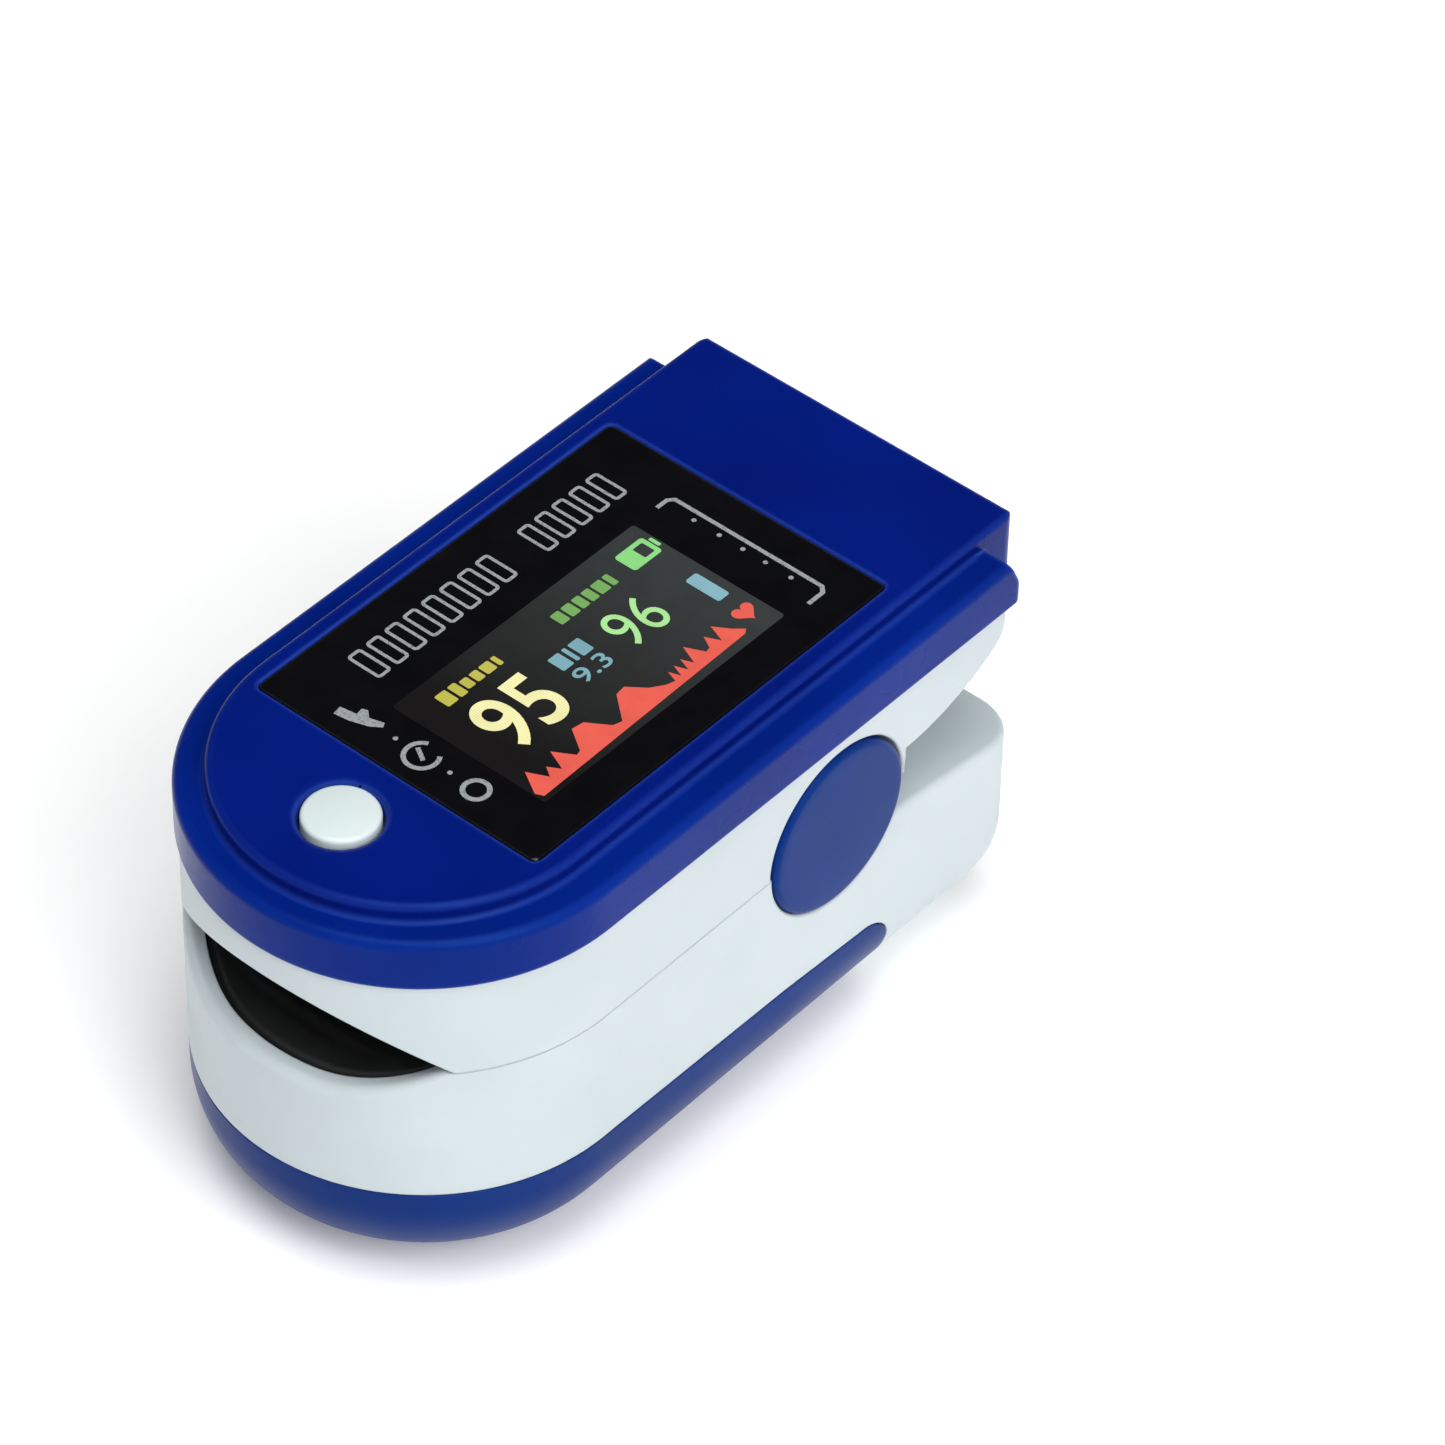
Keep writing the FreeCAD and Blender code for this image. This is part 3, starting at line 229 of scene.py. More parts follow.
def tube(name, pts, r, n=10, caps=True):
    """A round wire along a list of points."""
    pts = [Vector(p) for p in pts]
    rings = []
    t0 = (pts[1] - pts[0]).normalized()
    u = t0.orthogonal().normalized()
    for i, p in enumerate(pts):
        t = (pts[min(i + 1, len(pts) - 1)] - pts[max(i - 1, 0)]).normalized()
        u = (u - t * u.dot(t)).normalized()
        w = t.cross(u)
        rings.append([tuple(p + r * (u * cos(2 * pi * j / n) + w * sin(2 * pi * j / n))) for j in range(n)])
    return loft(name, rings)


def flat(name, loops, z0, z1):
    """Thin solid between z0 and z1 from closed loops; a loop in a loop is a hole."""
    cu = bpy.data.curves.new(name, "CURVE")
    cu.dimensions = "2D"
    cu.fill_mode = "BOTH"
    cu.extrude = (z1 - z0) / 2
    for lp in loops:
        s = cu.splines.new("POLY")
        s.points.add(len(lp) - 1)
        for p, (x, y) in zip(s.points, lp):
            p.co = (x, y, 0, 1)
        s.use_cyclic_u = True
    o = bpy.data.objects.new(name, cu)
    scene.collection.objects.link(o)
    dg = bpy.context.evaluated_depsgraph_get()
    me = bpy.data.meshes.new_from_object(o.evaluated_get(dg), depsgraph=dg)
    bpy.data.objects.remove(o)
    me.transform(Matrix.Translation((0, 0, (z0 + z1) / 2)))
    o = bpy.data.objects.new(name, me)
    scene.collection.objects.link(o)
    return o


def figures(name, text, y0, y1, x0, x1, z0, z1, bold=0.0):
    """Numbers that read along +Y with their tops towards -X, fitted to a box."""
    cu = bpy.data.curves.new(name, "FONT")
    cu.body = text
    cu.resolution_u = 8
    cu.offset = bold
    cu.fill_mode = "BOTH"
    cu.extrude = 0.5
    o = bpy.data.objects.new(name, cu)
    scene.collection.objects.link(o)
    dg = bpy.context.evaluated_depsgraph_get()
    me = bpy.data.meshes.new_from_object(o.evaluated_get(dg), depsgraph=dg)
    bpy.data.objects.remove(o)
    xs = [v.co.x for v in me.vertices]
    ys = [v.co.y for v in me.vertices]
    ax, bx, ay, by = min(xs), max(xs), min(ys), max(ys)
    for v in me.vertices:
        u = (v.co.x - ax) / (bx - ax)
        w = (v.co.y - ay) / (by - ay)
        v.co = (x1 + (x0 - x1) * w, y0 + (y1 - y0) * u, z1 if v.co.z > 0 else z0)
    o = bpy.data.objects.new(name, me)
    scene.collection.objects.link(o)
    return o


def circle(cx, cy, r, n=28):
    return [(cx + r * cos(2 * pi * i / n), cy + r * sin(2 * pi * i / n)) for i in range(n)]


def ribbon(pts, w):
    """Outline of a line of width w through the points, with mitred corners."""
    left, right = [], []
    for i, p in enumerate(pts):
        a = pts[max(i - 1, 0)]
        b = pts[min(i + 1, len(pts) - 1)]
        d0 = Vector((p[0] - a[0], p[1] - a[1]))
        d1 = Vector((b[0] - p[0], b[1] - p[1]))
        if i == 0:
            d0 = d1
        if i == len(pts) - 1:
            d1 = d0
        d0.normalize()
        d1.normalize()
        t = (d0 + d1).normalized()
        nrm = Vector((-t.y, t.x))
        k = w / 2 / max(0.35, nrm.dot(Vector((-d0.y, d0.x))))
        left.append((p[0] + nrm.x * k, p[1] + nrm.y * k))
        right.append((p[0] - nrm.x * k, p[1] - nrm.y * k))
    return left + right[::-1]


def tidy(o, weld=0.0008):
    bm = bmesh.new()
    bm.from_mesh(o.data)
    bmesh.ops.remove_doubles(bm, verts=bm.verts, dist=weld)
    bmesh.ops.dissolve_degenerate(bm, edges=bm.edges, dist=weld)
    loose = [v for v in bm.verts if not v.link_faces]
    bmesh.ops.delete(bm, geom=loose, context="VERTS")
    bmesh.ops.recalc_face_normals(bm, faces=bm.faces)
    bm.to_mesh(o.data)
    bm.free()
    return o


def soften(o, width, choose, segs=2, angle=35):
    """Rounds the sharp edges for which choose(midpoint) is true."""
    bm = bmesh.new()
    bm.from_mesh(o.data)
    edges = []
    for e in bm.edges:
        if len(e.link_faces) == 2 and e.calc_face_angle(0) > math.radians(angle):
            if choose((e.verts[0].co + e.verts[1].co) / 2):
                edges.append(e)
    if edges:
        bmesh.ops.bevel(bm, geom=edges, offset=width, offset_type="OFFSET", segments=segs, profile=0.5,
                        affect="EDGES", clamp_overlap=True, loop_slide=True)
    bm.to_mesh(o.data)
    bm.free()
    return o


def done(o, body, mat, replaces=(), crease=32, name=None):
    """Scales a piece to metres, shades it, and ties it to its CAD body; a piece given a tuple of bodies is only baked
    in place.
    """
    if name:
        o.name = name
    tidy(o)
    me = o.data
    me.transform(Matrix.Scale(MM, 4))
    me.materials.clear()
    me.materials.append(mat)
    for p in me.polygons:
        p.use_smooth = True
        p.material_index = 0
    me.set_sharp_from_angle(angle=math.radians(crease))
    w = o.modifiers.new("normals", "WEIGHTED_NORMAL")
    w.keep_sharp = True
    w.weight = 50
    applied(o)
    o.data.name = o.name
    if isinstance(body, tuple):
        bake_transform(o)
    else:
        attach(o, body)
    if replaces:
        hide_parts(*replaces)
    return o


# ----------------------------------------------------------------- materials
def lin(r, g, b):
    def f(c):
        c /= 255.0
        return c / 12.92 if c <= 0.04045 else ((c + 0.055) / 1.055) ** 2.4
    return (f(r), f(g), f(b), 1.0)


class Mat:
    """A node material; object coordinates are the model's own, in metres."""

    def __init__(self, name):
        self.m = bpy.data.materials.new(name)
        self.m.use_nodes = True
        self.t = self.m.node_tree
        self.p = self.t.nodes["Principled BSDF"]
        self.co = self.add("ShaderNodeTexCoord").outputs["Object"]

    def add(self, kind, **kw):
        n = self.t.nodes.new(kind)
        for k, v in kw.items():
            setattr(n, k, v)
        return n

    def link(self, a, b):
        self.t.links.new(a, b)

    def noise(self, scale, detail=3.0, rough=0.55, stretch=None):
        n = self.add("ShaderNodeTexNoise")
        n.inputs["Scale"].default_value = scale
        n.inputs["Detail"].default_value = detail
        n.inputs["Roughness"].default_value = rough
        src = self.co
        if stretch:
            mp = self.add("ShaderNodeMapping")
            mp.inputs["Scale"].default_value = stretch
            self.link(self.co, mp.inputs["Vector"])
            src = mp.outputs["Vector"]
        self.link(src, n.inputs["Vector"])
        return n.outputs["Fac"]

    def remap(self, src, a, b, lo=0.3, hi=0.7):
        n = self.add("ShaderNodeMapRange")
        n.inputs["From Min"].default_value = lo
        n.inputs["From Max"].default_value = hi
        n.inputs["To Min"].default_value = a
        n.inputs["To Max"].default_value = b
        self.link(src, n.inputs["Value"])
        return n.outputs["Result"]

    def mix(self, fac, a, b, mode="MIX"):
        n = self.add("ShaderNodeMix", data_type="RGBA", blend_type=mode)
        if isinstance(fac, float):
            n.inputs["Factor"].default_value = fac
        else:
            self.link(fac, n.inputs["Factor"])
        for sock, v in ((n.inputs[6], a), (n.inputs[7], b)):
            if isinstance(v, tuple):
                sock.default_value = v
            else:
                self.link(v, sock)
        return n.outputs[2]

    def math(self, op, a, b=0.0):
        n = self.add("ShaderNodeMath", operation=op)
        for sock, v in ((n.inputs[0], a), (n.inputs[1], b)):
            if isinstance(v, (int, float)):
                sock.default_value = v
            else:
                self.link(v, sock)
        return n.outputs[0]

    def axis(self, which):
        n = self.add("ShaderNodeSeparateXYZ")
        self.link(self.co, n.inputs[0])
        return n.outputs[which]

    def edge(self, radius=0.00025, strength=3.0):
        """0 on the faces, rising on the edges, from the rounded normal."""
        bev = self.add("ShaderNodeBevel", samples=4)
        bev.inputs["Radius"].default_value = radius
        geo = self.add("ShaderNodeNewGeometry")
        dot = self.add("ShaderNodeVectorMath", operation="DOT_PRODUCT")
        self.link(bev.outputs[0], dot.inputs[0])
        self.link(geo.outputs["Normal"], dot.inputs[1])
        one = self.math("SUBTRACT", 1.0, dot.outputs["Value"])
        up = self.math("MULTIPLY", one, strength)
        return self.math("MINIMUM", up, 1.0), bev.outputs[0]

    def bump(self, height, strength, distance, normal=None):
        b = self.add("ShaderNodeBump")
        b.inputs["Strength"].default_value = strength
        b.inputs["Distance"].default_value = distance
        self.link(height, b.inputs["Height"])
        if normal is not None:
            self.link(normal, b.inputs["Normal"])
        self.link(b.outputs[0], self.p.inputs["Normal"])
        return b.outputs[0]

    def set(self, **kw):
        names = {"base": "Base Color", "rough": "Roughness", "metal": "Metallic", "ior": "IOR",
                 "coat": "Coat Weight", "coat_rough": "Coat Roughness", "sss": "Subsurface Weight",
                 "sss_scale": "Subsurface Scale", "trans": "Transmission Weight", "spec": "Specular IOR Level",
                 "glow": "Emission Color", "glow_power": "Emission Strength", "sheen": "Sheen Weight"}
        for k, v in kw.items():
            s = self.p.inputs[names[k]]
            if isinstance(v, bpy.types.NodeSocket):
                self.link(v, s)
            else:
                s.default_value = v
        return self


def moulded(name, base, dark, worn, rough, spread, grain=3600.0, grain_depth=0.0000015, wear=0.35, ior=1.5, tint=None, sss=0.0, below=None, line=0.0):
    """Injection-moulded plastic: faint cloudiness, fine grain, rubbed edges; optionally a painted lighter tone under
    the panel and a painted highlight along the arrises.
    """
    m = Mat(name)
    cloud = m.remap(m.noise(90.0, 2.0), 0.0, 1.0, 0.3, 0.7)
    c = m.mix(cloud, base, dark)
    if below:                                            # painted light: the flange and ledge under the panel get a lighter blue, standing in for the brighter light on them
        c = m.mix(m.remap(m.axis(2), 1.0, 0.0, 0.0306, 0.0309), c, m.mix(cloud, below[0], below[1]))
    rim, rounded = m.edge()
    scuff = m.remap(m.noise(420.0, 3.0, 0.55), 0.35, 1.0, 0.4, 0.66)
    rubbed = m.math("MULTIPLY", m.math("MULTIPLY", rim, scuff), wear)
    c = m.mix(rubbed, c, worn)
    if line:                                             # painted highlight: the worn colour is painted in a band along the arrises, standing in for the light they catch
        painted_highlight_band, _ = m.edge(0.0005, 5.0)
        c = m.mix(m.math("MULTIPLY", painted_highlight_band, line), c, worn)
    r = m.math("ADD", m.remap(m.noise(140.0, 2.0), rough - spread, rough + spread), m.math("MULTIPLY", rubbed, 0.2))
    height = m.math("ADD", m.noise(grain, 1.0), m.math("MULTIPLY", m.noise(160.0, 1.0), 8.0))
    m.bump(height, 0.3, grain_depth, rounded)
    m.set(base=c, rough=r, ior=ior)
    if tint:
        m.p.inputs["Specular Tint"].default_value = tint
    if sss:
        m.set(sss=sss, sss_scale=0.0008)
    return m.m


GLOSS = (0.16, 0.5, 1.0, 1.0)
# painted light: the two tones for under the panel make the flange lighter than the top, and the edge line is a painted
# highlight
BLUE = moulded("blue_plastic", lin(4, 26, 118), lin(3, 22, 106), lin(60, 96, 200), 0.27, 0.04, wear=0.5, ior=1.2, tint=GLOSS,
               below=(lin(3, 35, 128), lin(2, 30, 114)), line=0.5)
BLUE_LOW = moulded("blue_plastic_base", lin(12, 46, 118), lin(9, 40, 106), lin(70, 104, 196), 0.34, 0.05, wear=0.45, ior=1.2, tint=GLOSS)
WHITE = moulded("white_plastic", lin(197, 207, 211), lin(189, 200, 204), lin(216, 222, 224), 0.36, 0.06, wear=0.3, ior=1.4, sss=0.05)
BUTTON = moulded("button_plastic", lin(212, 224, 223), lin(204, 217, 217), lin(228, 236, 234), 0.30, 0.05, wear=0.3, sss=0.05)

m = Mat("window_lens")
smear = m.remap(m.noise(130.0, 5.0, 0.6, (1.0, 0.45, 1.0)), 0.07, 0.2, 0.38, 0.7)
rim, rounded = m.edge(0.0002, 2.0)
m.bump(m.noise(150.0, 1.0), 0.12, 0.00001, rounded)
# painted highlight: the rim mask lightens the lens edge to grey, standing in for light on its polished rounding
m.set(base=m.mix(m.math("MULTIPLY", rim, 0.25), m.mix(m.remap(m.noise(400.0), 0.0, 1.0), lin(7, 7, 10), lin(11, 11, 15)),
                 lin(60, 64, 78)), rough=smear, ior=1.49)
LENS = m.m


def lit(name, colour, power, dim=0.75, cell=0.00017, far=None):
    """A lit area of the display, with its pixel grid and uneven brightness."""
    m = Mat(name)
    mp = m.add("ShaderNodeMapping")
    mp.inputs["Scale"].default_value = (1 / cell, 1 / cell, 1 / cell)
    m.link(m.co, mp.inputs["Vector"])
    fr = m.add("ShaderNodeVectorMath", operation="FRACTION")
    m.link(mp.outputs["Vector"], fr.inputs[0])
    sp = m.add("ShaderNodeSeparateXYZ")
    m.link(fr.outputs[0], sp.inputs[0])
    gx = m.remap(m.math("ABSOLUTE", m.math("SUBTRACT", sp.outputs[0], 0.5)), 1.0, dim, 0.36, 0.5)
    gy = m.remap(m.math("ABSOLUTE", m.math("SUBTRACT", sp.outputs[1], 0.5)), 1.0, dim, 0.36, 0.5)
    grid = m.math("MULTIPLY", gx, gy)
    level = m.math("MULTIPLY", grid, m.remap(m.noise(500.0), 0.9, 1.06))
    tone = m.mix(m.remap(m.axis(1), 0.0, 1.0, -0.0095, 0.0095), colour, far) if far else colour
    c = m.mix(level, (0.0, 0.0, 0.0, 1.0), tone)
    m.set(base=m.mix(0.85, colour, (0.0, 0.0, 0.0, 1.0)), rough=m.remap(m.noise(300.0), 0.14, 0.26), glow=c,
          glow_power=power)
    return m.m


SCREEN = lit("screen_ground", lin(24, 22, 22), 0.9, 0.8, far=lin(62, 66, 66))
YELLOW = lit("figure_yellow", lin(244, 240, 178), 0.95)
LABEL_Y = lit("label_yellow", lin(196, 190, 84), 0.9)
GREEN = lit("figure_green", lin(172, 230, 152), 0.95)
LABEL_G = lit("label_green", lin(122, 176, 98), 0.9)
CELL_G = lit("battery_green", lin(142, 218, 132), 0.95)
CYAN = lit("figure_cyan", lin(128, 176, 188), 0.9)
BAR_C = lit("bar_cyan", lin(138, 186, 198), 0.9)
RED = lit("trace_red", lin(234, 98, 84), 0.95)

m = Mat("white_ink")
worn = m.remap(m.noise(5200.0, 3.0, 0.7), 0.0, 1.0, 0.34, 0.5)
m.set(base=m.mix(worn, lin(112, 116, 120), lin(152, 156, 160)), rough=m.remap(m.noise(900.0), 0.3, 0.5))
m.bump(m.noise(6000.0, 2.0), 0.3, 0.000004)
INK = m.m

m = Mat("silicone")
ribs = m.noise(5200.0, 3.0, 0.6)
m.set(base=m.mix(m.remap(m.noise(260.0, 4.0), 0.0, 1.0), lin(7, 8, 9), lin(13, 14, 15)),
      rough=m.remap(m.noise(500.0, 4.0), 0.5, 0.72), sheen=0.03)
m.bump(ribs, 0.4, 0.00001)
SILICONE = m.m

m = Mat("clear_lens")
m.set(base=m.mix(m.remap(m.noise(600.0), 0.0, 1.0), lin(60, 24, 26), lin(84, 40, 40)), rough=m.remap(m.noise(400.0), 0.04, 0.12),
      ior=1.49, coat=0.6)
m.bump(m.noise(900.0), 0.15, 0.000004)
CLEAR = m.m

m = Mat("board")
tracks = m.add("ShaderNodeTexVoronoi", feature="DISTANCE_TO_EDGE")
tracks.inputs["Scale"].default_value = 700.0
m.link(m.co, tracks.inputs["Vector"])
line = m.remap(tracks.outputs["Distance"], 1.0, 0.0, 0.03, 0.06)
m.set(base=m.mix(line, lin(16, 84, 48), lin(34, 120, 66)), rough=m.remap(m.noise(500.0), 0.3, 0.45))
m.bump(line, 0.4, 0.00002)
BOARD = m.m

m = Mat("component")
m.set(base=m.mix(m.remap(m.noise(3000.0), 0.0, 1.0), lin(24, 24, 26), lin(40, 40, 42)), rough=m.remap(m.noise(2500.0), 0.45, 0.65))
m.bump(m.noise(9000.0), 0.4, 0.00001)
CHIP = m.m

m = Mat("emitter")
m.set(base=m.mix(m.remap(m.noise(900.0), 0.0, 1.0), lin(190, 150, 96), lin(226, 206, 170)), rough=m.remap(m.noise(600.0), 0.2, 0.35))
m.bump(m.noise(3000.0), 0.2, 0.000006)
EMITTER = m.m


def metal(name, a, b, rough, stretch):
    m = Mat(name)
    brushed = m.noise(1800.0, 4.0, 0.6, stretch)
    m.set(base=m.mix(m.remap(brushed, 0.0, 1.0), a, b), metal=1.0, rough=m.remap(m.noise(900.0, 4.0), rough - 0.08, rough + 0.1))
    m.bump(brushed, 0.25, 0.000006)
    return m.m


STEEL = metal("steel", lin(150, 152, 156), lin(196, 198, 202), 0.3, (1.0, 1.0, 6.0))
NICKEL = metal("nickel_contact", lin(176, 172, 164), lin(214, 210, 202), 0.26, (6.0, 1.0, 1.0))

m = Mat("flex")
wave = m.add("ShaderNodeTexWave", wave_type="BANDS", bands_direction="X")
wave.inputs["Scale"].default_value = 320.0
m.link(m.co, wave.inputs["Vector"])
trace = m.remap(wave.outputs["Fac"], 0.0, 1.0, 0.45, 0.6)
m.set(base=m.mix(trace, lin(150, 84, 26), lin(190, 128, 54)), rough=m.remap(m.noise(700.0), 0.25, 0.4))
m.bump(trace, 0.3, 0.00001)
FLEX = m.m


def sleeve(name, y_plus, y_minus):
    """A AAA cell: metal ends, a dark sleeve and a copper band at the + end."""
    m = Mat(name)
    y = m.axis(1)
    s = 1.0 if y_minus > y_plus else -1.0
    d = m.math("MULTIPLY", m.math("SUBTRACT", y, y_plus * MM), s / MM)      # mm from the + end
    in_sleeve = m.math("MULTIPLY", m.remap(d, 0.0, 1.0, 1.25, 1.3), m.remap(d, 1.0, 0.0, 43.9, 43.95))
    band = m.math("MULTIPLY", m.remap(d, 0.0, 1.0, 1.25, 1.3), m.remap(d, 1.0, 0.0, 13.0, 13.05))
    stripe = m.math("MULTIPLY", m.remap(d, 0.0, 1.0, 13.8, 13.85), m.remap(d, 1.0, 0.0, 14.4, 14.45))
    grime = m.remap(m.noise(300.0, 5.0), 0.0, 1.0)
    body = m.mix(grime, lin(22, 26, 32), lin(34, 38, 46))
    body = m.mix(band, body, m.mix(grime, lin(176, 112, 58), lin(196, 134, 76)))
    body = m.mix(stripe, body, lin(206, 208, 210))
    c = m.mix(in_sleeve, lin(196, 196, 194), body)
    m.set(base=c, metal=m.math("SUBTRACT", 1.0, m.math("MULTIPLY", in_sleeve, 0.75)),
          rough=m.remap(m.noise(800.0, 4.0), 0.22, 0.36))
    m.bump(m.noise(2000.0, 3.0), 0.15, 0.000006)
    return m.m


# ------------------------------------------------------------------ top cover
flange = stack("top_cover_shell", lambda i: dee(HALF_W, NOSE_Y, 26.2, 0.7, i, nose=120, side=8),
               arc(FL_LO, 0.3, FL_LO + 0.3, 0.0, 5, "i") + arc(FL_HI - 0.6, 0.0, FL_HI, 0.6, 12, "z"))
minus(flange, prism("h0", [(24.75, 30.9), (26.4, 27.4), (27.6, 27.4), (27.6, 30.9)], "x", -17.0, 17.0))
R_PANEL = HALF_W - 2.3
fillet = [(FL_HI + 0.28 * (1 - cos(pi / 2 * k / 5)), -0.28 * (1 - sin(pi / 2 * k / 5))) for k in range(6)]
panel = stack("panel", lambda i: dee(R_PANEL, NOSE_Y - 0.4, HALF_L, 1.3, i, nose=120, side=8),
              [(FL_LO, 0.3)] + arc(FL_LO, 0.3, FL_LO + 0.3, 0.0, 4, "i")[1:] + [(FL_HI - 0.3, 0.0)]
              + arc(TOP - 0.4, 0.0, TOP, 0.4, 8, "z"))
ring_fillet = stack("ring_fillet", lambda i: dee(R_PANEL, NOSE_Y - 0.4, 24.4, 0.6, i, nose=120, side=8),
                    [(FL_HI - 0.4, -0.28)] + fillet + [(FL_HI + 0.285, 0.1)])


def tail(i, front=26.7):
    k = 1.3 - i
    x, y = R_PANEL - i, HALF_L - i
    n = 8
    return ([(-x, front), (x, front)]
            + [(x - k + k * cos(pi / 2 * j / n), y - k + k * sin(pi / 2 * j / n)) for j in range(n + 1)]
            + [(-x + k - k * sin(pi / 2 * j / n), y - k + k * cos(pi / 2 * j / n)) for j in range(n + 1)])


skirt = stack("skirt", tail, arc(25.5, 0.4, 25.9, 0.0, 6, "i") + [(27.6, 0.0)])
plus(flange, ring_fillet, panel, skirt)
end = [(27.42, 33.0), (27.44, TOP + 0.02)]
end += [(27.453 + 0.4 * sin(a), TOP - 0.4 + 0.4 * cos(a)) for a in [math.radians(6 + 76.4 * k / 7) for k in range(8)]]
minus(flange, prism("h7", end + [(28.3, 28.2), (28.3, 28.0), (29.5, 28.0), (29.5, 33.0)], "x", -17.0, 17.0))
hollow = stack("h1", lambda i: dee(HALF_W - 1.2, NOSE_Y, 24.7, 1.0, i, nose=96), [(26.0, 0.0), (29.6, 0.0)])
roof = stack("h2", lambda i: dee(R_PANEL - 1.1, NOSE_Y, 24.7, 1.0, i, nose=96), [(29.0, 0.0), (30.0, 0.0)])
recess = stack("h3", lambda i: rrect(-11.6, 11.4, -15.6, 17.2, 0.5, i),
               [(TOP - 0.8, 0.0), (TOP - 0.14, 0.0)] + [(TOP - 0.14 + 0.14 * sin(pi / 2 * k / 4), -0.14 * (1 - cos(pi / 2 * k / 4)))
                                                   for k in range(1, 5)] + [(33.0, -0.14)])
aperture = block("h4", -8.9, 9.5, -12.4, 12.6, 29.0, 33.0)


def sunk(r):
    """Depth of the dish round the button."""
    t = min(1.0, max(0.0, (r - 2.1) / 1.3))
    return 0.33 * (1 - t * t * (3 - 2 * t))


dish = turned("h5", [(33.0, 3.5), (TOP + 0.004, 3.5)] + [(TOP - sunk(r), r) for r in [3.38 - 0.08 * k for k in range(16)] + [1.6, 0.8, 0.3]],
              (0.0, BTN_Y), n=120)
hole = turned("h6", [(28.0, 2.65), (31.45, 2.65)] + [(31.45 + 0.22 * sin(pi / 2 * k / 4), 2.65 + 0.22 * (1 - cos(pi / 2 * k / 4)))
                                                    for k in range(1, 5)] + [(33.0, 2.87)], (0.0, BTN_Y), n=120)
minus(flange, hollow, roof, recess, aperture, dish, hole)
bosses = [turned("b%d%d" % (sx, sy > 0), [(28.25, 1.9), (30.15, 1.9)], (sx, sy), n=40)
          for sx, sy in ((-11.2, -16.2), (11.2, -16.2), (-9.0, 20.0), (9.0, 20.0))]
plus(flange, *bosses)
minus(flange, *[turned("p%d%d" % (sx, sy > 0), [(28.0, 0.8), (29.5, 0.8)], (sx, sy), n=32)
                for sx, sy in ((-11.2, -16.2), (11.2, -16.2), (-9.0, 20.0), (9.0, 20.0))])
done(flange, "upper_jaw", BLUE, ["top_cover"], crease=28)

# window, with a fine polished edge
window = stack("window_lens_plate", lambda i: rrect(-11.54, 11.34, -15.54, 17.14, 0.44, i),
               [(TOP - 0.78, 0.0), (TOP - 0.13, 0.0)] + arc(TOP - 0.13, 0.0, TOP, 0.13, 5, "z")[1:])
done(window, "upper_jaw", LENS, ["display_window"], crease=40)

# ------------------------------------------- lit display, printed window marks
Z0, Z1, Z2 = TOP - 0.01, TOP + 0.008, TOP + 0.016
ON_LENS = Matrix.Translation((0.24, -0.28, 0.0))


def shown(name, loops, mat, z1=Z2):
    o = flat(name, loops, Z0, z1)
    o.data.transform(ON_LENS)
    return done(o, "upper_jaw", mat, (), crease=20)


shown("screen_ground", [rrect(-4.35, 8.15, -11.1, 11.15, 0.25)], SCREEN, Z1)
for nm, txt, box, mat, bold in (("figure_large", "95", (-8.9, -3.5, -0.75, 4.15), YELLOW, 0.012),
                                ("figure_rate", "96", (2.65, 6.5, -0.05, 3.25), GREEN, -0.002),
                                ("figure_index", "9.3", (-1.75, 1.05, 1.75, 3.1), CYAN, 0.008)):
    o = figures(nm, txt, box[0], box[1], box[2], box[3], Z0, Z2, bold)
    o.data.transform(ON_LENS)
    done(o, "upper_jaw", mat, (), crease=20)


def blocks(y0, y1, x0, x1, widths, gap):
    total = sum(widths) + gap * (len(widths) - 1)
    k = (y1 - y0) / total
    out, y = [], y0
    for w in widths:
        out.append(rrect(x0, x1, y, y + w * k, 0.12, n=3))
        y += (w + gap) * k
    return out


shown("label_left", blocks(-8.8, -7.0, -3.0, -1.75, (1.0, 0.7), 0.25) + blocks(-6.8, -3.6, -2.8, -1.9, (0.7, 0.7, 0.9, 0.4), 0.22), LABEL_Y)
shown("label_right", blocks(1.3, 6.6, -2.6, -1.5, (0.8, 0.8, 0.7, 0.7, 0.9, 0.5), 0.22), LABEL_G)
shown("label_small", blocks(-1.75, 1.05, -0.05, 1.35, (0.9, 0.3, 0.9), 0.25), CYAN)
shown("battery_mark", [rrect(-3.2, -1.4, 8.0, 10.6, 0.25), rrect(-2.85, -1.75, 9.35, 10.25, 0.12),
                       rrect(-2.75, -1.85, 10.72, 11.0, 0.1)], CELL_G)
shown("level_bar", [rrect(1.5, 4.3, 9.35, 10.4, 0.2)], BAR_C)
trace = [(7.75, -10.7), (7.2, -10.95), (5.5, -9.95), (6.9, -9.25), (6.15, -8.75), (7.0, -8.25), (5.45, -7.6), (6.85, -6.75),
         (6.75, -6.35), (5.1, -5.25), (5.25, -4.35), (6.75, -3.35), (6.95, -2.7), (5.1, -1.15), (5.0, -0.35), (6.2, 0.6),
         (6.8, 1.5), (7.0, 2.15), (6.15, 2.45), (6.95, 2.75), (6.05, 3.1), (6.95, 3.45), (5.95, 3.8), (6.8, 4.15), (5.35, 4.75),
         (6.7, 5.4), (6.6, 5.8), (5.7, 6.3), (6.75, 6.8), (5.4, 7.3), (6.5, 8.0), (7.15, 8.6), (7.4, 8.25)]
shown("pulse_trace", [trace], RED)
heart = []
for i in range(40):
    a = 2 * pi * i / 40
    hy = 16 * sin(a) ** 3
    hx = 13 * cos(a) - 5 * cos(2 * a) - 2 * cos(3 * a) - cos(4 * a)
    heart.append((6.1 - hx * 0.052, 9.7 + hy * 0.052))
shown("heart_mark", [heart], RED)

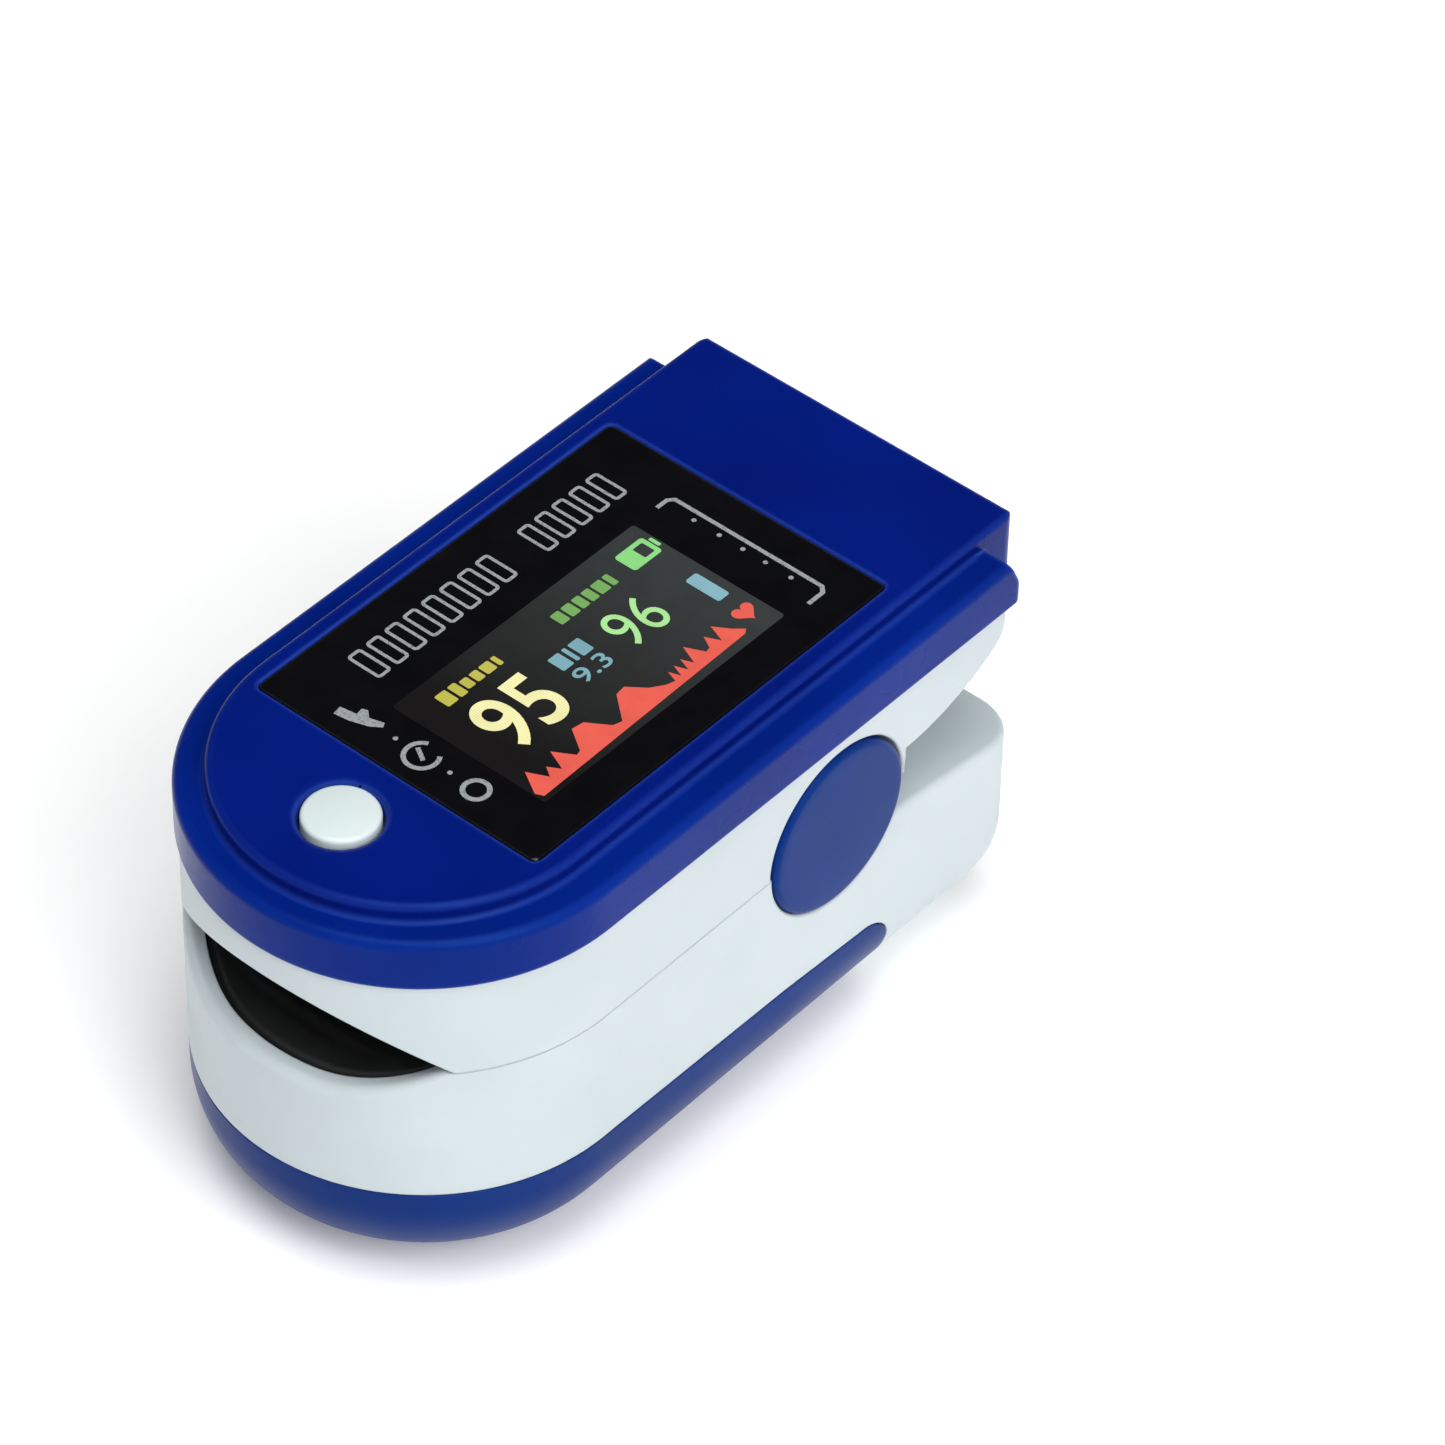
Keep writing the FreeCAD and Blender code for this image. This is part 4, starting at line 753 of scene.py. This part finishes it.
ink = []
for y0, y1, n in ((5.7, 13.3, 5), (-9.8, 3.0, 8)):
    step = (y1 - y0 + 0.45) / n
    for k in range(n):
        a, b = y0 + k * step, y0 + (k + 1) * step - 0.45
        ink.append([rrect(-9.4, -6.6, a, b, 0.3, n=4), rrect(-9.17, -6.83, a + 0.23, b - 0.23, 0.1, n=3)])
shown("scale_marks", [lp for pair in ink for lp in pair], INK)
shown("bracket_mark", [ribbon([(-4.3, 13.35), (-4.3, 14.3), (-3.95, 14.7), (8.15, 14.7), (8.55, 14.3), (8.55, 12.9)], 0.3)]
      + [circle(x, 14.02, 0.17, 14) for x in (-1.8, 0.3, 2.25, 4.1, 6.2)], INK)
gap_ring = [(-0.1 + 1.12 * cos(a), -13.05 + 1.12 * sin(a)) for a in [pi * 0.62 + (2 * pi - 1.3) * k / 30 for k in range(31)]]
shown("icon_marks", [circle(-2.3, -13.0, 0.17, 14), circle(2.17, -13.0, 0.17, 14),
                     circle(4.35, -13.05, 1.0), circle(4.35, -13.05, 0.66),
                     ribbon(gap_ring, 0.32), ribbon([(-0.75, -12.7), (0.25, -13.3)], 0.3),
                     [(-6.6, -13.9), (-5.5, -13.75), (-4.2, -13.3), (-3.5, -12.8), (-3.7, -12.45), (-4.7, -12.75),
                      (-5.2, -12.3), (-5.6, -12.45), (-5.5, -13.0), (-6.7, -13.2)]], INK)

# --------------------------------------------------------------- power button
steps = [(29.5, 3.3), (29.56, 3.38), (29.85, 3.38), (29.9, 3.3), (29.92, 2.5), (31.85, 2.5)]
steps += [(31.85 + 0.32 * sin(pi / 2 * k / 8), 2.5 - 0.32 * (1 - cos(pi / 2 * k / 8))) for k in range(1, 9)]
steps += [(32.35 - 0.18 * (r / 2.18) ** 2, r) for r in (1.95, 1.65, 1.3, 0.9, 0.5, 0.2, 0.04)]
done(turned("button_cap", steps, (0.0, BTN_Y), n=120), "power_button", BUTTON, ["power_button"])

# ---------------------------------------------------------------- upper shell
LOW_U = SEAM + SEAM_GAP


def arch(x):
    return 9.4 + math.sqrt(max(0.0, 225.0 - x * x))


def mouth_cutter(name, height, lip, up):
    """Cuts the finger mouth through the round nose with a rounded outer lip."""
    nt, rad = 150, [12.4, 13.0, 13.65] + [SHELL - lip + lip * k / 9 for k in range(10)] + [SHELL + 0.03, SHELL + 1.2]

    def at(i, j):
        a = math.radians(-64 + 128 * i / nt)
        r = rad[j]
        x, y = r * sin(a), NOSE_Y - r * cos(a)
        e = flare(SHELL - r, lip)
        z = height(x)
        z = max(18.3, z + e) if up else min(20.4, z - e)
        return x, y, z

    def base(i, j):
        x, y, _ = at(i, j)
        return x, y, (17.6 if up else 21.4)
    return grid_solid(name, at, base, nt, len(rad) - 1)


def sweep_z(y):
    """Underside of the squeeze end."""
    ax, az, bx, bz, cx, cz = 15.3, 21.35, 21.3, 22.6, 26.75, 26.3
    d = 2 * (ax * (bz - cz) + bx * (cz - az) + cx * (az - bz))
    ux = ((ax * ax + az * az) * (bz - cz) + (bx * bx + bz * bz) * (cz - az) + (cx * cx + cz * cz) * (az - bz)) / d
    uz = ((ax * ax + az * az) * (cx - bx) + (bx * bx + bz * bz) * (ax - cx) + (cx * cx + cz * cz) * (bx - ax)) / d
    r = math.hypot(ax - ux, az - uz)
    if y > cx:
        return cz + (y - cx) * 0.755
    return uz - math.sqrt(max(0.0, r * r - (y - ux) ** 2))


def half_at(y, rear, rc):
    """Half width of the shell outline at y."""
    if y <= rear - rc:
        return SHELL
    t = min(1.0, (y - (rear - rc)) / rc)
    return SHELL - rc + rc * math.sqrt(max(0.0, 1 - t * t))


def rear_cutter():
    ny, ds = 40, [0.0, 0.05, 0.1, 0.16, 0.23, 0.31, 0.4]
    lip = 0.4
    ys = [15.3 + (28.6 - 15.3) * j / ny for j in range(ny + 1)]

    def at(i, j):
        w = half_at(ys[j], 26.6, 2.6) if ys[j] < 26.59 else SHELL - 2.6
        cols = [-16.0, -w - 0.02] + [-w + d for d in ds[1:]] + [-w * 0.5, 0.0, w * 0.5] + [w - d for d in ds[:0:-1]] + [w + 0.02, 16.0]
        x = cols[i]
        return x, ys[j], sweep_z(ys[j]) + flare(w - abs(x), lip)

    def base(i, j):
        x, y, _ = at(i, j)
        return x, y, 17.0
    return grid_solid("rear_cut", at, base, 2 * len(ds) + 4, ny)


upper = stack("upper_shell_case", lambda i: dee(SHELL, NOSE_Y, 26.6, 2.6, i, nose=132, side=10),
              [(LOW_U, 0.05), (LOW_U + 0.02, 0.015), (LOW_U + 0.06, 0.0), (FL_LO, 0.0)])
cavity = stack("u1", lambda i: dee(SHELL - WALL, NOSE_Y, 14.2, 1.2, i, nose=132, side=8), [(18.0, 0.0), (25.4, 0.0)])
minus(upper, rear_cutter(), cavity, mouth_cutter("u2", arch, 0.3, True))
rear_hollow = prism("u3", [(15.4, 28.0), (15.4, 22.8), (19.0, 23.1), (22.0, 24.3), (24.6, 26.0), (24.6, 28.0)], "x",
                    -SHELL + WALL, SHELL - WALL)
minus(upper, rear_hollow)


def ear_pts(r, top):
    return ([(HY - r, top)] + [(HY + r * cos(pi + pi * k / 30), HZ + r * sin(pi + pi * k / 30)) for k in range(31)]
            + [(HY + r, top)])


plus(upper, prism("u4", ear_pts(5.0, 25.7), "x", 11.0, 12.2), prism("u5", ear_pts(5.0, 25.7), "x", -12.2, -11.0))
for s in (1, -1):
    lip = [(s * 12.35, 6.4), (s * (SHELL - 0.25), 6.4)]
    lip += [(s * (SHELL - 0.25 * cos(pi / 2 * k / 5)), 6.4 + 0.25 * (1 - cos(pi / 2 * k / 5)) * 0 + 0.25 * (1 - math.sqrt(max(0, 1 - (1 - cos(pi / 2 * k / 5)) ** 2))))
            for k in range(1, 6)]
    lip += [(s * 16.2, lip[-1][1])]
    minus(upper, turned("u6", lip, (HY, HZ), "x", n=140))
minus(upper, turned("u7", [(-13.0, 1.55), (13.0, 1.55)], (HY, HZ), "x", n=48))
plus(upper, *[turned("u8", [(z0, r), (27.2, r)], c, n=40) for c, r, z0 in
              (((-11.2, -16.2), 1.9, 25.3), ((11.2, -16.2), 1.9, 25.3), ((-9.0, 20.0), 2.7, 22.9), ((9.0, 20.0), 2.7, 22.9))])
minus(upper, *[turned("u9", st, c, n=32) for c, st in
               (((-11.2, -16.2), [(20.0, 0.9), (28.0, 0.9)]), ((11.2, -16.2), [(20.0, 0.9), (28.0, 0.9)]),
                ((-9.0, 20.0), [(20.0, 1.75), (25.4, 1.75), (25.41, 0.9), (28.0, 0.9)]),
                ((9.0, 20.0), [(20.0, 1.75), (25.4, 1.75), (25.41, 0.9), (28.0, 0.9)]),
                ((0.0, -8.0), [(24.0, 3.4), (28.0, 3.4)]))])
minus(upper, block("u10", -3.2, 3.2, 7.4, 10.6, 24.0, 28.0))
done(upper, "upper_jaw", WHITE, ["upper_shell"], crease=26)

# ------------------------------------------------- lower shell, battery door
HIGH_L = SEAM - SEAM_GAP
P0, P1, P2 = (3.2, 17.0), (7.3, 17.685), (10.4, 19.25)


def circle3(a, b, c):
    d = 2 * (a[0] * (b[1] - c[1]) + b[0] * (c[1] - a[1]) + c[0] * (a[1] - b[1]))
    sa, sb, sc = (p[0] ** 2 + p[1] ** 2 for p in (a, b, c))
    ux = (sa * (b[1] - c[1]) + sb * (c[1] - a[1]) + sc * (a[1] - b[1])) / d
    uz = (sa * (c[0] - b[0]) + sb * (a[0] - c[0]) + sc * (b[0] - a[0])) / d
    return ux, uz, math.hypot(a[0] - ux, a[1] - uz)


CX, CZ, CR = circle3(P0, P1, P2)


def trough(x):
    x = abs(x)
    if x <= 3.2:
        return 17.0
    x = min(x, CX + CR * 0.98)
    return CZ - math.sqrt(max(0.0, CR * CR - (x - CX) ** 2)) if CZ > 17 else CZ + math.sqrt(max(0.0, CR * CR - (x - CX) ** 2))


def outer_stack(name, top):
    return stack(name, lambda i: dee(SHELL, NOSE_Y, HALF_L - 0.25, 3.8 + 0.75 * i, i, nose=132, side=12, corner=24),
                 arc(0.0, 7.2, 7.2, 0.0, 26, "i") + top)


def inner_stack(name):
    return stack(name, lambda i: dee(SHELL - WALL, NOSE_Y, HALF_L - 0.25 - WALL, 2.5 + 0.75 * i, i, nose=132, side=12, corner=24),
                 arc(1.2, 6.0, 7.2, 0.0, 20, "i") + [(12.9, 0.0)])


def zone(name, inset, grow=0.0):
    top, rear, r = 8.75 - inset, 14.5 - inset, 3.0
    p0, p2 = (rear, top - 0.75 - r), (rear - r, top - 0.72)
    cx, cz, cr = circle3(p0, (rear - r * 0.27, top - 0.75 - r * 0.27), p2)
    a0, a2 = math.atan2(p0[1] - cz, p0[0] - cx), math.atan2(p2[1] - cz, p2[0] - cx)
    pts = [(-31.0, -1.5), (rear, -1.5)] + [(cx + cr * cos(a0 + (a2 - a0) * k / 14), cz + cr * sin(a0 + (a2 - a0) * k / 14)) for k in range(15)]
    pts += [(4.0, top - 0.3), (-12.0, top), (-31.0, top)]
    return prism(name, pts, "x", -17.0, 17.0)


def lid_cutter(name, y0, plane, lip, z_top):
    """Removes what is over a sloping plane behind y0, with a rounded rim."""
    def chain(d):
        rear, rc = HALF_L - 0.25 - d, max(3.8 - d, 0.05)
        x, n = SHELL - d, 24
        pts = [(x, y0 + (rear - rc - y0) * k / 6) for k in range(6)]
        pts += [(x - rc + rc * cos(pi / 2 * k / n), rear - rc + rc * sin(pi / 2 * k / n)) for k in range(n + 1)]
        pts += [((x - rc) * (1 - 2 * k / 8), rear) for k in range(1, 8)]
        pts += [(-x + rc - rc * sin(pi / 2 * k / n), rear - rc + rc * cos(pi / 2 * k / n)) for k in range(n + 1)]
        pts += [(-x, rear - rc - (rear - rc - y0) * k / 6) for k in range(1, 7)]
        return pts
    ds = [-1.2, -0.03] + [lip * (1 - cos(pi / 2 * k / 7)) for k in range(8)]
    rings = [[(x, y, z_top) for x, y in chain(-1.2)]]
    rings += [[(x, y, plane(y) - flare(d, lip)) for x, y in chain(d)] for d in ds]
    return loft(name, rings)


def ramp(y):
    return 16.5 + (y - 14.4) * (14.45 - 16.5) / (29.5 - 14.4)


lower = outer_stack("lower_shell_case", [(HIGH_L - 0.07, 0.0), (HIGH_L - 0.02, 0.015), (HIGH_L, 0.05)])
minus(lower, inner_stack("l1"), zone("l2", 0.0))
bed = stack("l3", lambda i: dee(SHELL - WALL, NOSE_Y, 13.2, 1.2, i, nose=132, side=8), [(13.9, 0.0), (22.0, 0.0)])
minus(lower, bed, lid_cutter("l4", 14.4, ramp, 0.45, 22.0))
minus(lower, block("l5", -SHELL + WALL, SHELL - WALL, 12.8, 14.6, 16.5, 22.0))
minus(lower, mouth_cutter("l6", trough, 0.75, False))
for s in (1, -1):
    minus(lower, turned("l7", [(s * 14.0, 6.3), (s * (SHELL - 0.12), 6.3), (s * (SHELL + 0.0), 6.42), (s * 16.2, 6.42)], (HY, HZ), "x", n=140))


def lower_ear(name, x0):
    pts = [(HY - 5.5, 13.4), (HY + 4.6, 13.4), (HY + 4.6, 16.4)]
    a0 = math.atan2(16.4 - HZ, 4.6)
    pts += [(HY + 5.5 * cos(a0 + (pi - a0) * k / 34), HZ + 5.5 * sin(a0 + (pi - a0) * k / 34)) for k in range(35)]
    return prism(name, pts, "x", x0, x0 + 1.4)


plus(lower, lower_ear("l8", 12.5), lower_ear("l9", -13.9), block("l10", -7.5, 7.5, -23.6, -22.8, 5.4, 13.2),
     block("l11", -9.2, 9.2, 24.9, 25.7, 4.6, 13.2), block("l12", -3.0, 3.0, 24.9, 27.3, 8.4, 14.05),
     turned("l13", [(11.0, 1.3), (13.2, 1.3)], (0.0, -12.0), n=40), turned("l14", [(11.0, 1.3), (13.2, 1.3)], (0.0, 0.0), n=40))
eye = [(15.46, 1.5), (14.99, 1.5)] + [(14.99 - 0.5 * sin(pi / 2 * k / 5), 0.9 + 0.6 * (1 - sin(pi / 2 * k / 5))) for k in range(6)] + [(10.0, 0.9)]
minus(lower, block("l15", -1.7, 1.7, 25.1, 29.0, 9.0, 11.2), turned("l16", eye[::-1], (0.0, 26.0), n=48),
      turned("l17", [(12.0, 1.5), (15.0, 1.5)], (HY, HZ), "x", n=48), turned("l18", [(-15.0, 1.5), (-12.0, 1.5)], (HY, HZ), "x", n=48),
      turned("l19", [(11.2, 0.7), (14.2, 0.7)], (0.0, -12.0), n=32), turned("l20", [(11.2, 0.7), (14.2, 0.7)], (0.0, 0.0), n=32))
tidy(lower)
soften(lower, 0.1, lambda m: m.z < 9.0 and m.y < 14.9 and (m.x ** 2 + min(m.y - NOSE_Y, 0.0) ** 2) > 14.3 ** 2, segs=2)
done(lower, "lower_jaw", WHITE, ["lower_shell"], crease=26)

door = outer_stack("battery_door_panel", [(9.6, 0.0)])
boolean(door, zone("d1", 0.1), "INTERSECT")
minus(door, inner_stack("d2"))
tidy(door)
soften(door, 0.16, lambda m: m.z > 0.5 and (m.x ** 2 + min(m.y - NOSE_Y, 0.0) ** 2) > (14.3 if m.z > 7 else 0.0) ** 2 and
       (m.z > 7.0 or m.y > 14.3), segs=3)
plus(door, block("d3", -1.3, 1.3, 13.5, 16.3, 1.25, 2.25), block("d4", -1.3, 1.3, 12.6, 14.2, 0.6, 2.25))
minus(door, *[turned("d5%d" % k, [(-4.8, 0.02), (-4.5, 0.45), (4.5, 0.45), (4.8, 0.02)], (-17.0 + 1.7 * k, -0.12), "x", n=40) for k in range(4)])
done(door, "battery_door", BLUE_LOW, ["battery_door"], crease=28)

for side, s in (("left", -1), ("right", 1)):
    steps = [(s * 14.0, 6.05), (s * 14.08, 6.2), (s * 14.72, 6.2)]
    steps += [(s * (14.72 + 0.43 * sin(pi / 2 * k / 7)), 6.2 - 0.43 * (1 - cos(pi / 2 * k / 7))) for k in range(1, 8)]
    steps += [(s * (15.2 - 0.05 * (r / 5.77) ** 2), r) for r in (5.2, 4.4, 3.4, 2.2, 1.0, 0.1)]
    done(turned("hinge_cap_" + side, steps, (HY, HZ), "x", n=140), "lower_jaw", BLUE_LOW, ["hinge_disc_" + side],
         crease=30)

# ------------------------------------------------------------- silicone pads
PAD_R = SHELL - WALL - 0.2


def ease(t):
    t = min(1.0, max(0.0, t))
    return t * t * (3 - 2 * t)


def pad_solid(name, inner, outer, down):
    """Soft pad between two height fields, ribbed, with a rolled front lip."""
    nu, nv = 96, 150

    def place(i, j):
        u = -1 + 2 * i / nu
        x = PAD_R * (u - 0.04 * sin(pi * u))
        yf = NOSE_Y - math.sqrt(max(0.0, PAD_R ** 2 - x * x))
        return x, yf, yf + (3.0 - yf) * (j / nv)

    def shape(i, j, which):
        x, yf, y = place(i, j)
        zi, zo = inner(x), outer(x)
        wall_on = ease((y - 0.3) / 1.5)
        stop = 19.62 if down else 19.08
        ridge = (0.5 - 0.5 * cos(2 * pi * (y + 24.0) / 1.7)) * ease((y - yf - 1.2) / 1.5) * ease((0.2 - y) / 1.0)
        ridge *= ease((9.6 - abs(x)) / 2.0) * ease((math.hypot(x, y + 8.0) - 3.9) / 0.9)
        crown = 0.10 * ease((y - yf) / 4.0) * ease((0.5 - y) / 3.0) * (0.5 + 0.5 * cos(pi * min(1.0, abs(abs(x) - 6.0) / 3.4)))
        sgn = -1.0 if down else 1.0
        zi = zi + sgn * (0.13 * ridge + crown)
        zi = zi + (stop - zi) * wall_on
        roll = 0.5 * (1 - math.sqrt(max(0.0, 1 - (1 - min(1.0, (y - yf) / 0.55)) ** 2)))
        roll = max(roll, 0.4 * (1 - math.sqrt(max(0.0, 1 - (1 - min(1.0, (3.0 - y) / 0.4)) ** 2))))
        half = (zo - zi) / 2 * 0.96
        k = min(1.0, roll * 2)
        return x, y, (zi + half * k) if which == "in" else (zo - half * k)
    return grid_solid(name, lambda i, j: shape(i, j, "in"), lambda i, j: shape(i, j, "out"), nu, nv)


def up_in(x):
    t = ease((abs(x) - 10.9) / 0.5)
    return arch(min(abs(x), 11.3)) * (1 - t) + 19.62 * t


def up_out(x):
    a = 8.043 + math.sqrt(17.307 ** 2 - x * x)
    t = ease((abs(x) - 11.3) / 0.7)
    return a * (1 - t) + 20.7 * t


def low_in(x):
    t = ease((abs(x) - 10.1) / 0.5)
    return trough(min(abs(x), 10.6)) * (1 - t) + 19.08 * t


def low_out(x):
    x = abs(x)
    pts = [(0.0, 15.85), (8.8, 15.88), (9.5, 16.5), (11.9, 17.98), (14.0, 17.98)]
    for (a, za), (b, zb) in zip(pts, pts[1:]):
        if x <= b:
            return za + (zb - za) * (x - a) / (b - a)
    return 17.98


up = pad_solid("upper_finger_pad", up_in, up_out, True)
minus(up, turned("p1", [(22.0, 3.3), (24.1, 3.3), (24.3, 3.06), (27.0, 3.05)], (0.0, -8.0), n=64))
done(up, "upper_jaw", SILICONE, ["upper_pad"], crease=40)
lo = pad_solid("lower_finger_pad", low_in, low_out, False)
minus(lo, turned("p2", [(14.0, 3.05), (16.85, 3.06), (17.05, 3.3), (19.0, 3.3)], (0.0, -8.0), n=64))
done(lo, "lower_jaw", SILICONE, ["lower_pad"], crease=40)

for nm, node, z0, z1, sag, body in (("emitter_window", "emitter_lens", 25.6, 24.3, -0.3, "upper_jaw"),
                                    ("detector_window", "detector_lens", 15.6, 16.85, 0.35, "lower_jaw")):
    d = 1 if z1 > z0 else -1
    steps = [(z0, 2.9), (z0 + d * 0.1, 3.0), (z1 - d * 0.12, 3.0), (z1 - d * 0.02, 2.93)]
    steps += [(z1 + sag * (1 - (r / 3.0) ** 2), r) for r in (2.85, 2.6, 2.2, 1.7, 1.1, 0.5, 0.06)]
    done(turned(nm, steps, (0.0, -8.0), n=72), body, CLEAR, [node], crease=40)

# ------------------------------------------------------- springs and the lead
rings = []
for side in (1, -1):
    pts = []
    lean = math.radians(15.5)
    n = 150
    a0, a1 = lean, 2 * pi * 3 - lean
    c = []
    for k in range(n + 1):
        a = a0 + (a1 - a0) * k / n
        c.append(Vector((7.9 + 0.72 * (a - a0) / (2 * pi), HY + 2.3 * cos(a), HZ + 2.3 * sin(a))))
    t0, t1 = (c[1] - c[0]).normalized(), (c[-1] - c[-2]).normalized()
    first = c[0] - t0 * ((c[0].z - 14.4) / t0.z)
    last = c[-1] + t1 * ((24.9 - c[-1].z) / t1.z)
    pts = [first.lerp(c[0], k / 14) for k in range(14)] + c + [c[-1].lerp(last, k / 14) for k in range(1, 15)]
    pts = [Vector((side * p.x, p.y, p.z)) for p in pts]
    rings.append(tube("return_spring_" + ("right" if side > 0 else "left"), pts, 0.3, 12))
for o in rings:
    done(o, ("lower_jaw", "upper_jaw", (0, HY * MM, 17.4 * MM), (0, HY * MM, 21.6 * MM)), STEEL, ["torsion_springs"], crease=60)

strip = []
r = 1.2
line = [(1.4 + (HY - r - 1.4) * k / 10, 14.8) for k in range(10)]
line += [(HY - r + r * sin(pi / 2 * k / 10), 14.8 + r - r * cos(pi / 2 * k / 10)) for k in range(11)]
line += [(HY, 14.8 + r + (27.1 - r - 14.8 - r) * k / 30) for k in range(1, 30)]
line += [(HY + r - r * cos(pi / 2 * k / 10), 27.1 - r + r * sin(pi / 2 * k / 10)) for k in range(11)]
line += [(HY + r + (12.8 - HY - r) * k / 6, 27.1) for k in range(1, 7)]


def lead(i, j, s):
    y, z = line[j]
    a, b = line[max(j - 1, 0)], line[min(j + 1, len(line) - 1)]
    t = Vector((b[0] - a[0], b[1] - a[1])).normalized()
    x = -2.5 + 5.0 * i / 12
    h = 0.09 * (1 - 0.5 * (abs(x) / 2.5) ** 10)
    return x, y - t.y * s * h, z + t.x * s * h


done(grid_solid("flex_lead", lambda i, j: lead(i, j, 1), lambda i, j: lead(i, j, -1), 12, len(line) - 1),
     ("lower_jaw", "upper_jaw", (0, HY * MM, 16.4 * MM), (0, HY * MM, 25.6 * MM)), FLEX, ["flex_cable"], crease=50)

# ---------------------------------------------------------------------- cells
prof = [(0.0, 1.55), (0.1, 1.75), (0.28, 1.86), (0.78, 1.9), (0.84, 2.25), (0.86, 4.1), (0.95, 4.7), (1.15, 5.05), (1.45, 5.2),
        (1.7, 5.23), (2.3, 5.23), (2.55, 5.1), (2.8, 5.1), (3.05, 5.23), (12.0, 5.23), (24.0, 5.23), (36.0, 5.23), (43.7, 5.23),
        (44.1, 5.2), (44.35, 5.02), (44.46, 4.7), (44.46, 4.2), (44.4, 3.95), (44.34, 3.6)]
for side, x in (("left", -5.5), ("right", 5.5)):
    if side == "left":
        steps = [(-21.3 + d, rr) for d, rr in prof]
        mat = sleeve("cell_sleeve_left", -21.3, 23.2)
    else:
        steps = [(23.2 - d, rr) for d, rr in prof]
        mat = sleeve("cell_sleeve_right", 23.2, -21.3)
    done(turned("cell_" + side, steps, (x, 7.3), "y", n=88), "lower_jaw", mat, ["aaa_cell_" + side], crease=30)

# ------------------------------------------------- CAD nodes that stay as made
FINISH = {"display_foam": SILICONE, "display_module": CHIP, "tact_switch": CHIP, "main_board": BOARD, "board_chips": CHIP,
          "led_emitter": EMITTER, "upper_screws": STEEL, "switch_plunger": CHIP, "sensor_board": BOARD, "photodiode": EMITTER,
          "hinge_pins": STEEL, "board_screws": STEEL, "bridge_contact": NICKEL, "negative_contact": NICKEL,
          "positive_contact": NICKEL, "cell_springs": NICKEL}
for node, mat in FINISH.items():
    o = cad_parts[node]
    if not o.material_slots:
        o.data.materials.append(mat)
    for s in o.material_slots:
        s.material = mat

# -------------------------------------------------------------- floor, lights
floor_mat = Mat("floor")
floor_mat.set(base=floor_mat.mix(floor_mat.remap(floor_mat.noise(30.0, 4.0), 0.0, 1.0), (0.945, 0.945, 0.945, 1), (0.955, 0.955, 0.95, 1)),
              rough=floor_mat.remap(floor_mat.noise(60.0), 0.6, 0.75))
floor_mat.set(glow=(1.0, 1.0, 1.0, 1.0), glow_power=0.1)
floor = new_obj("floor_sheet", [(-3, -3, -0.00002), (3, -3, -0.00002), (3, 3, -0.00002), (-3, 3, -0.00002)], [(0, 1, 2, 3)])
floor.data.materials.append(floor_mat.m)


def area(name, az, el, dist, size, watts, colour=(1, 1, 1)):
    a, e = math.radians(az), math.radians(el)
    d = Vector((sin(a) * cos(e), -cos(a) * cos(e), sin(e)))
    la = bpy.data.lights.new(name, "AREA")
    la.shape = "DISK"
    la.size = size
    la.energy = watts
    la.color = colour
    o = bpy.data.objects.new(name, la)
    scene.collection.objects.link(o)
    o.location = Vector((0, 0, 0.015)) + d * dist
    o.rotation_mode = "QUATERNION"
    o.rotation_quaternion = (-d).to_track_quat("-Z", "Y")
    return o


area("key_light", 72, 42, 2.2, 1.7, 37.0)
area("top_light", 30, 82, 2.4, 1.9, 43.0)
area("fill_light", -35, 34, 2.3, 1.9, 2.0)

world = bpy.data.worlds.new("studio")
scene.world = world
world.use_nodes = True
wt = world.node_tree
bg = wt.nodes["Background"]
tc = wt.nodes.new("ShaderNodeTexCoord")
sx = wt.nodes.new("ShaderNodeSeparateXYZ")
mr = wt.nodes.new("ShaderNodeMapRange")
mr.interpolation_type = "SMOOTHSTEP"
mr.inputs["From Min"].default_value = 0.05
mr.inputs["From Max"].default_value = 0.5
mr.inputs["To Min"].default_value = 0.45
mr.inputs["To Max"].default_value = 0.03
wt.links.new(tc.outputs["Generated"], sx.inputs[0])
wt.links.new(sx.outputs[2], mr.inputs["Value"])
wt.links.new(mr.outputs["Result"], bg.inputs["Strength"])
bg.inputs["Color"].default_value = (0.97, 0.985, 1.0, 1.0)

# --------------------------------------------------------------------- camera
AZ, EL, ROLL = math.radians(39.771), math.radians(43.621), math.radians(-1.44)
TX, TY, TZ, F = -9.872, -6.632, 428.341, 6783.949
r = Vector((cos(AZ), sin(AZ), 0))
b = Vector((sin(AZ) * cos(EL), -cos(AZ) * cos(EL), sin(EL)))
u = b.cross(r)
right = r * cos(ROLL) - u * sin(ROLL)
above = r * sin(ROLL) + u * cos(ROLL)
cam_data = bpy.data.cameras.new("camera")
cam_data.lens = F / 1445 * 36.0
cam_data.sensor_width = 36.0
cam_data.clip_start = 0.01
cam_data.clip_end = 20.0
cam = bpy.data.objects.new("camera", cam_data)
scene.collection.objects.link(cam)
eye_at = Vector((0, 0, 16)) - right * TX - above * TY + b * TZ
mw = Matrix(((right.x, above.x, b.x, eye_at.x * MM), (right.y, above.y, b.y, eye_at.y * MM),
             (right.z, above.z, b.z, eye_at.z * MM), (0, 0, 0, 1)))
cam.matrix_world = mw
scene.camera = cam
scene.view_settings.view_transform = "Standard"
scene.view_settings.look = "None"
